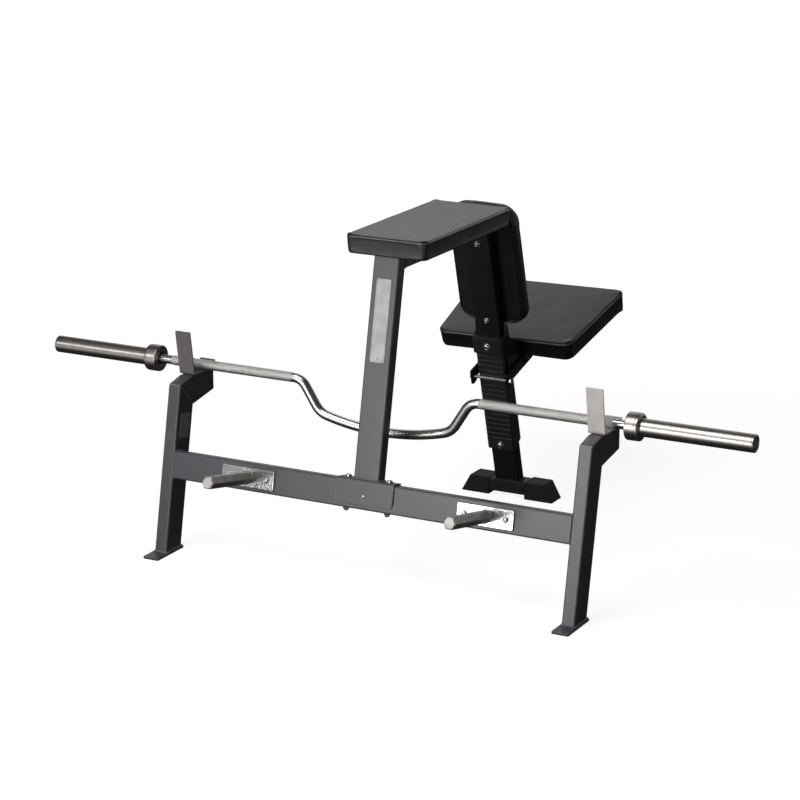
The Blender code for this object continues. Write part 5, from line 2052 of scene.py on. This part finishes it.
@dataclass
class Barbell:
    """The cambered shaft with knurled grips, and the turning load sleeves."""

    radius: float = 0.014
    depth: float = 0.123
    low_radius: float = 0.735
    low_angle: float = math.radians(14.7)
    lower_bend: float = 0.062
    upper_bend: float = 0.047
    leg_angle: float = math.radians(57.6)
    collar_start: float = 0.744
    collar_long: float = 0.040
    collar_radius: float = 0.0388
    load_long: float = 0.323
    load_radius: float = 0.025
    load_bore: float = 0.0172
    cap_thick: float = 0.006
    grip_end: float = 0.7025
    journal_radius: float = 0.0131

    def build(self) -> None:
        """Builds the shaft, its grips and both ends."""
        half = self.path()
        straight = half[-1][0]
        line = [(-x, z) for x, z in half[:0:-1]] + half
        bend = Form(BAR).sweep([Vector((x, 0, z)) for x, z in line], lambda s: self.radius, 32)
        show(bend, "camber_shaft", "barbell", SHAFT_STEEL, ["bar_shaft"], 60)
        for side in Side:
            self.grip(side, straight)
            self.journal(side)
            self.sleeve(side)

    def path(self) -> list[Point2]:
        """Follows half of the bent stretch.

        Returns:
            The centre line, from the middle of the camber to where the grip starts.
        """
        low_drop = self.low_radius * (1 - math.cos(self.low_angle))
        lower_drop = self.lower_bend * (math.cos(self.low_angle) - math.cos(self.leg_angle))
        upper_drop = self.upper_bend * (1 - math.cos(self.leg_angle))
        leg = (self.depth - low_drop - lower_drop - upper_drop) / math.sin(self.leg_angle)
        turn = self.leg_angle - self.low_angle
        stretches = [
            (self.low_radius * self.low_angle, self.low_angle, 24),
            (self.lower_bend * turn, turn, 16),
            (leg, 0.0, 6),
            (self.upper_bend * self.leg_angle, -self.leg_angle, 18),
            (0.004, 0.0, 1),
        ]
        x, z, heading = 0.0, -self.depth, 0.0
        points = [(x, z)]
        for length, angle, steps in stretches:
            for _ in range(steps):
                chord = length / steps
                if angle:
                    chord *= math.sin(abs(angle) / steps / 2) / (abs(angle) / steps / 2)
                x += chord * math.cos(heading + angle / steps / 2)
                z += chord * math.sin(heading + angle / steps / 2)
                heading += angle / steps
                points.append((x, z))
        return points

    def grip(self, side: Side, start: float) -> None:
        """Builds a knurled stretch with a narrow plain ring at each end.

        Args:
            side: the bar's side.
            start: where it starts, from the bar's middle.
        """
        r, end = self.radius, self.grip_end
        rings = [
            Ring(r, end), Ring(r, end - 0.004), Ring(r + 0.0003, end - 0.0044),
            Ring(r + 0.0003, start + 0.0004), Ring(r, start), Ring(r, start - 0.0006),
        ]
        form = Form(BAR).turn(rings, side.facing, steps=48)
        show(form, "knurled_grip_" + side.word, "barbell", GRIP_STEEL, (), 60)

    def journal(self, side: Side) -> None:
        """Builds the plain stretch from the grip into the sleeve.

        Args:
            side: the bar's side.
        """
        r, start = self.journal_radius, self.grip_end
        end = self.collar_start + self.collar_long + self.load_long - 0.020
        rings = [Ring(r - 0.001, end), Ring(r, end - 0.001), Ring(r, start), Ring(r - 0.001, start - 0.001)]
        form = Form(BAR).turn(rings, side.facing, steps=48)
        show(form, "bar_journal_" + side.word, "barbell", SHAFT_STEEL, (), 60)

    def sleeve(self, side: Side) -> None:
        """Builds the collar, load sleeve and end cap, and dresses the bush.

        Args:
            side: the bar's side.
        """
        start, r = self.collar_start, self.collar_radius
        brim = start + self.collar_long
        hub = self.load_radius + GAP
        collar = [
            Ring(hub, brim), Ring(r - 0.0065, brim), Ring(r - 0.0050, brim - 0.0007),
            Ring(r - 0.0012, brim - 0.0024), Ring(r - 0.0002, brim - 0.0050), Ring(r - 0.0002, brim - 0.0088),
            Ring(r - 0.0016, brim - 0.0094), Ring(r - 0.0016, brim - 0.0112), Ring(r, brim - 0.0118),
            Ring(r, start + 0.0022), Ring(r - 0.0005, start + 0.0010), Ring(r - 0.0018, start),
            Ring(0.0208, start), Ring(0.0200, start + 0.0006), Ring(hub - 0.006, start + 0.0006),
            Ring(hub - 0.006, start + 0.004), Ring(hub, start + 0.004),
        ]
        end = brim + self.load_long
        cap = end - self.cap_thick - GAP
        bore, load = self.load_bore, self.load_radius
        tube = [
            Ring(bore, cap), Ring(load - 0.0003, cap), Ring(load, cap - 0.0004), Ring(load, start + 0.0045),
            Ring(bore, start + 0.0045),
        ]
        plug = [
            Ring(0, end - 0.0016), Ring(0.0078, end - 0.0016), Ring(0.0084, end - 0.0010),
            Ring(0.0190, end - 0.0010), Ring(0.0196, end), Ring(load - 0.0022, end),
            Ring(load - 0.0006, end - 0.0010), Ring(load, end - 0.0028), Ring(load, cap + GAP),
            Ring(bore - GAP, cap + GAP), Ring(bore - GAP, cap - 0.010), Ring(0, cap - 0.010),
        ]
        for piece, node, rings, bored in (
            ("plate_collar_", "collar_", collar, True),
            ("load_tube_", "load_sleeve_", tube, True),
            ("sleeve_cap_", "end_cap_", plug, False),
        ):
            form = Form(BAR).turn(rings, side.facing, closed=bored, steps=64)
            show(form, piece + side.word, "bar_sleeve_" + side.word, SLEEVE_STEEL, [node + side.word], 30)
        # The bush's darkened bronze is painted shade inside the collar's mouth.
        dress_solid("sleeve_bush_" + side.word, BRONZE_PAINTED_SHADE)
        self.seal(side)

    def seal(self, side: Side) -> None:
        """Builds the wiper ring in the collar's mouth, round the shaft.

        Args:
            side: the bar's side.
        """
        start, inner, outer = self.collar_start, self.radius - 0.0007, 0.0204
        rings = [
            Ring(outer, start + 0.0034), Ring(outer, start + 0.0010), Ring(outer - 0.0008, start + 0.0003),
            Ring(outer - 0.0022, start + 0.0007), Ring(inner + 0.0018, start + 0.0010),
            Ring(inner + 0.0006, start + 0.0003), Ring(inner, start + 0.0009), Ring(inner, start + 0.0034),
        ]
        form = Form(BAR).turn(rings, side.facing, closed=True, steps=48)
        show(form, "sleeve_seal_" + side.word, "bar_sleeve_" + side.word, RUBBER)


# Studio


@dataclass(frozen=True)
class SoftBox:
    """One rectangular lamp aimed at the bench: its place, width and height in metres, and watts."""

    name: str
    spot: tuple[float, float, float]
    wide: float
    high: float
    power: float


@dataclass
class Studio:
    """The floor, the lamps, the world and the camera."""

    eye: tuple[float, float, float] = (3.4309, -6.6912, 2.5442)
    target: tuple[float, float, float] = (0.1876, -0.5902, 0.5816)
    lens: float = 120.27
    floor_reach: float = 60.0
    fill: float = 0.075
    lamps: tuple[SoftBox, ...] = (
        SoftBox("gloss", (-1.0, -4.4, 0.85), 1.7, 1.5, 68.0),
        SoftBox("left", (-3.3, -4.0, 2.4), 1.1, 1.1, 22.0),
        SoftBox("key", (-0.7, -3.0, 4.9), 3.0, 3.0, 125.0),
        SoftBox("rear", (-1.6, 2.4, 2.7), 1.8, 1.5, 8.0),
        SoftBox("edge", (3.4, -1.7, 1.1), 0.22, 2.0, 2.5),
    )

    def build(self) -> None:
        """Sets up everything that isn't part of the bench."""
        self.camera()
        self.floor()
        self.world()
        for box in self.lamps:
            self.lamp(box)
        bpy.context.scene.view_settings.view_transform = "Standard"

    def aim(self, spot: Vector, target: Vector) -> Matrix:
        """A place that looks at a target along -Z."""
        turn = (target - spot).to_track_quat("-Z", "Y").to_matrix().to_4x4()
        return Matrix.Translation(spot) @ turn

    def camera(self) -> None:
        """The camera at the photograph's angle."""
        data = bpy.data.cameras.new("camera")
        data.lens = self.lens
        data.sensor_width = 36.0
        data.clip_end = 200.0
        camera = bpy.data.objects.new("camera", data)
        camera.matrix_world = self.aim(Vector(self.eye), Vector(self.target))
        bpy.context.scene.collection.objects.link(camera)
        bpy.context.scene.camera = camera

    def lamp(self, box: SoftBox) -> None:
        """Hangs one soft box, aimed at the bench.

        Args:
            box: the soft box.
        """
        data = bpy.data.lights.new(box.name, "AREA")
        data.shape = "RECTANGLE"
        data.size = box.wide
        data.size_y = box.high
        data.energy = box.power
        lamp = bpy.data.objects.new(box.name, data)
        lamp.matrix_world = self.aim(Vector(box.spot), Vector((0.0, -0.1, 0.5)))
        bpy.context.scene.collection.objects.link(lamp)

    def seen(self, graph: Graph) -> tuple[Wire, Wire]:
        """Tells apart the rays that reach the background.

        Args:
            graph: the tree that asks.

        Returns:
            1 for a ray that shows it directly or through glass, and 1 for one that shows it in a reflection.
        """
        path = graph.node("LightPath")
        camera, through = graph.out(path, "Is Camera Ray"), graph.out(path, "Is Transmission Ray")
        return camera.math("MAXIMUM", camera, through), graph.out(path, "Is Glossy Ray")

    def world(self) -> None:
        """A white world; reflections of it fall off from behind the bench to behind the camera."""
        world = bpy.data.worlds.new("studio")
        world.use_nodes = True
        graph = Graph(world.node_tree)
        shader = world.node_tree.nodes["Background"]
        parts = graph.node("SeparateXYZ", None, {0: graph.out(graph.node("TexCoord"), "Generated")})
        behind = 0.05 + 0.50 * graph.out(parts, 1).ramp(0.5, 0.88)
        direct, glossy = self.seen(graph)
        level = direct + (1 - direct) * (glossy * behind + (1 - glossy) * self.fill)
        feed(graph.tree, shader.inputs["Color"], (1.0, 1.0, 1.0))
        feed(graph.tree, shader.inputs["Strength"], level)
        bpy.context.scene.world = world

    def floor(self) -> None:
        """A plain white floor that keeps the bench's shadow; only its reflections vary with the place."""
        mesh = bmesh.new()
        bmesh.ops.create_grid(mesh, x_segments=2, y_segments=2, size=self.floor_reach)
        data = bpy.data.meshes.new("floor")
        mesh.to_mesh(data)
        mesh.free()
        floor = bpy.data.objects.new("floor", data)
        bpy.context.scene.collection.objects.link(floor)
        material = bpy.data.materials.new("white_floor")
        material.use_nodes = True
        graph = Graph(material.node_tree)
        graph.tree.nodes.remove(graph.tree.nodes["Principled BSDF"])
        parts = graph.node("SeparateXYZ", None, {0: graph.place()})
        x, y = graph.out(parts, 0), graph.out(parts, 1)
        far = x.math("SQRT", x ** 2.0 + y ** 2.0)
        direct, glossy = self.seen(graph)
        matt = graph.node("BsdfDiffuse", None, {"Color": (0.30, 0.30, 0.30)})
        level = direct * (0.88 + 0.12 * far.ramp(1.2, 4.0))
        glow = graph.node("Emission", None, {"Color": (1.0, 1.0, 1.0), "Strength": level})
        both = graph.node("AddShader", None, {0: graph.out(matt), 1: graph.out(glow)})
        mirrored = 0.020 + 0.45 * y.ramp(3.4, 4.6) + 0.60 * (0 - y).ramp(0.9, 1.8)
        mirror = graph.node("Emission", None, {"Color": (1.0, 1.0, 1.0), "Strength": mirrored})
        shown = graph.node("MixShader", None, {0: glossy, 1: graph.out(both), 2: graph.out(mirror)})
        output = graph.tree.nodes["Material Output"]
        feed(graph.tree, output.inputs["Surface"], graph.out(shown))
        data.materials.append(material)


def cushions() -> list[Cushion]:
    """Lists the pads.

    Returns:
        The three cushions with their places and sizes.
    """
    chest = BENCH @ Matrix.Translation((0, 0.443, 0.9143))
    thigh = POST @ Matrix.Translation((0, 0.0403, 0.780)) @ Matrix.Rotation(math.radians(-90), 4, "X")
    knee = POST @ Matrix.Translation((0, 0.2655, 0.459))
    return [
        Cushion(
            "chest_cushion", "chest_pad", "frame", chest, 0.127, 0.127, 0.540, 0.059,
            corner=0.021, roll=0.006, crown=0.0020, puff=0.0022, seam_drop=0.0065, draw_in=0.0030,
        ),
        Cushion(
            "thigh_cushion", "thigh_pad", "frame", thigh, 0.110, 0.110, 0.380, 0.0545,
            corner=0.052, roll=0.022, crown=0.0030, puff=0.0030, seam_drop=0.0240, draw_in=0.0020, arch=0.009,
        ),
        Cushion(
            "knee_cushion", "knee_pad", "knee_carriage", knee, 0.222, 0.253, 0.363, 0.060,
            corner=0.030, roll=0.006, crown=0.0020, puff=0.0025, seam_drop=0.0065, draw_in=0.0030,
            slope=0.020, droop=0.009,
        ),
    ]


def main() -> None:
    """Builds the bench and the studio round it."""
    logging.basicConfig(level=logging.INFO, format="%(message)s")
    FrontFrame().build()
    BarRests().build()
    PlateStorage().build()
    ColumnMount().build()
    RearPost().build()
    for cushion in cushions():
        cushion.build()
    for node in ("chest_pad_board", "thigh_pad_board", "knee_pad_board"):
        dress_solid(node, PAD_BOARD)
    Carriage().build()
    Latch().build()
    Barbell().build()
    Studio().build()


if __name__ == "__main__":
    main()
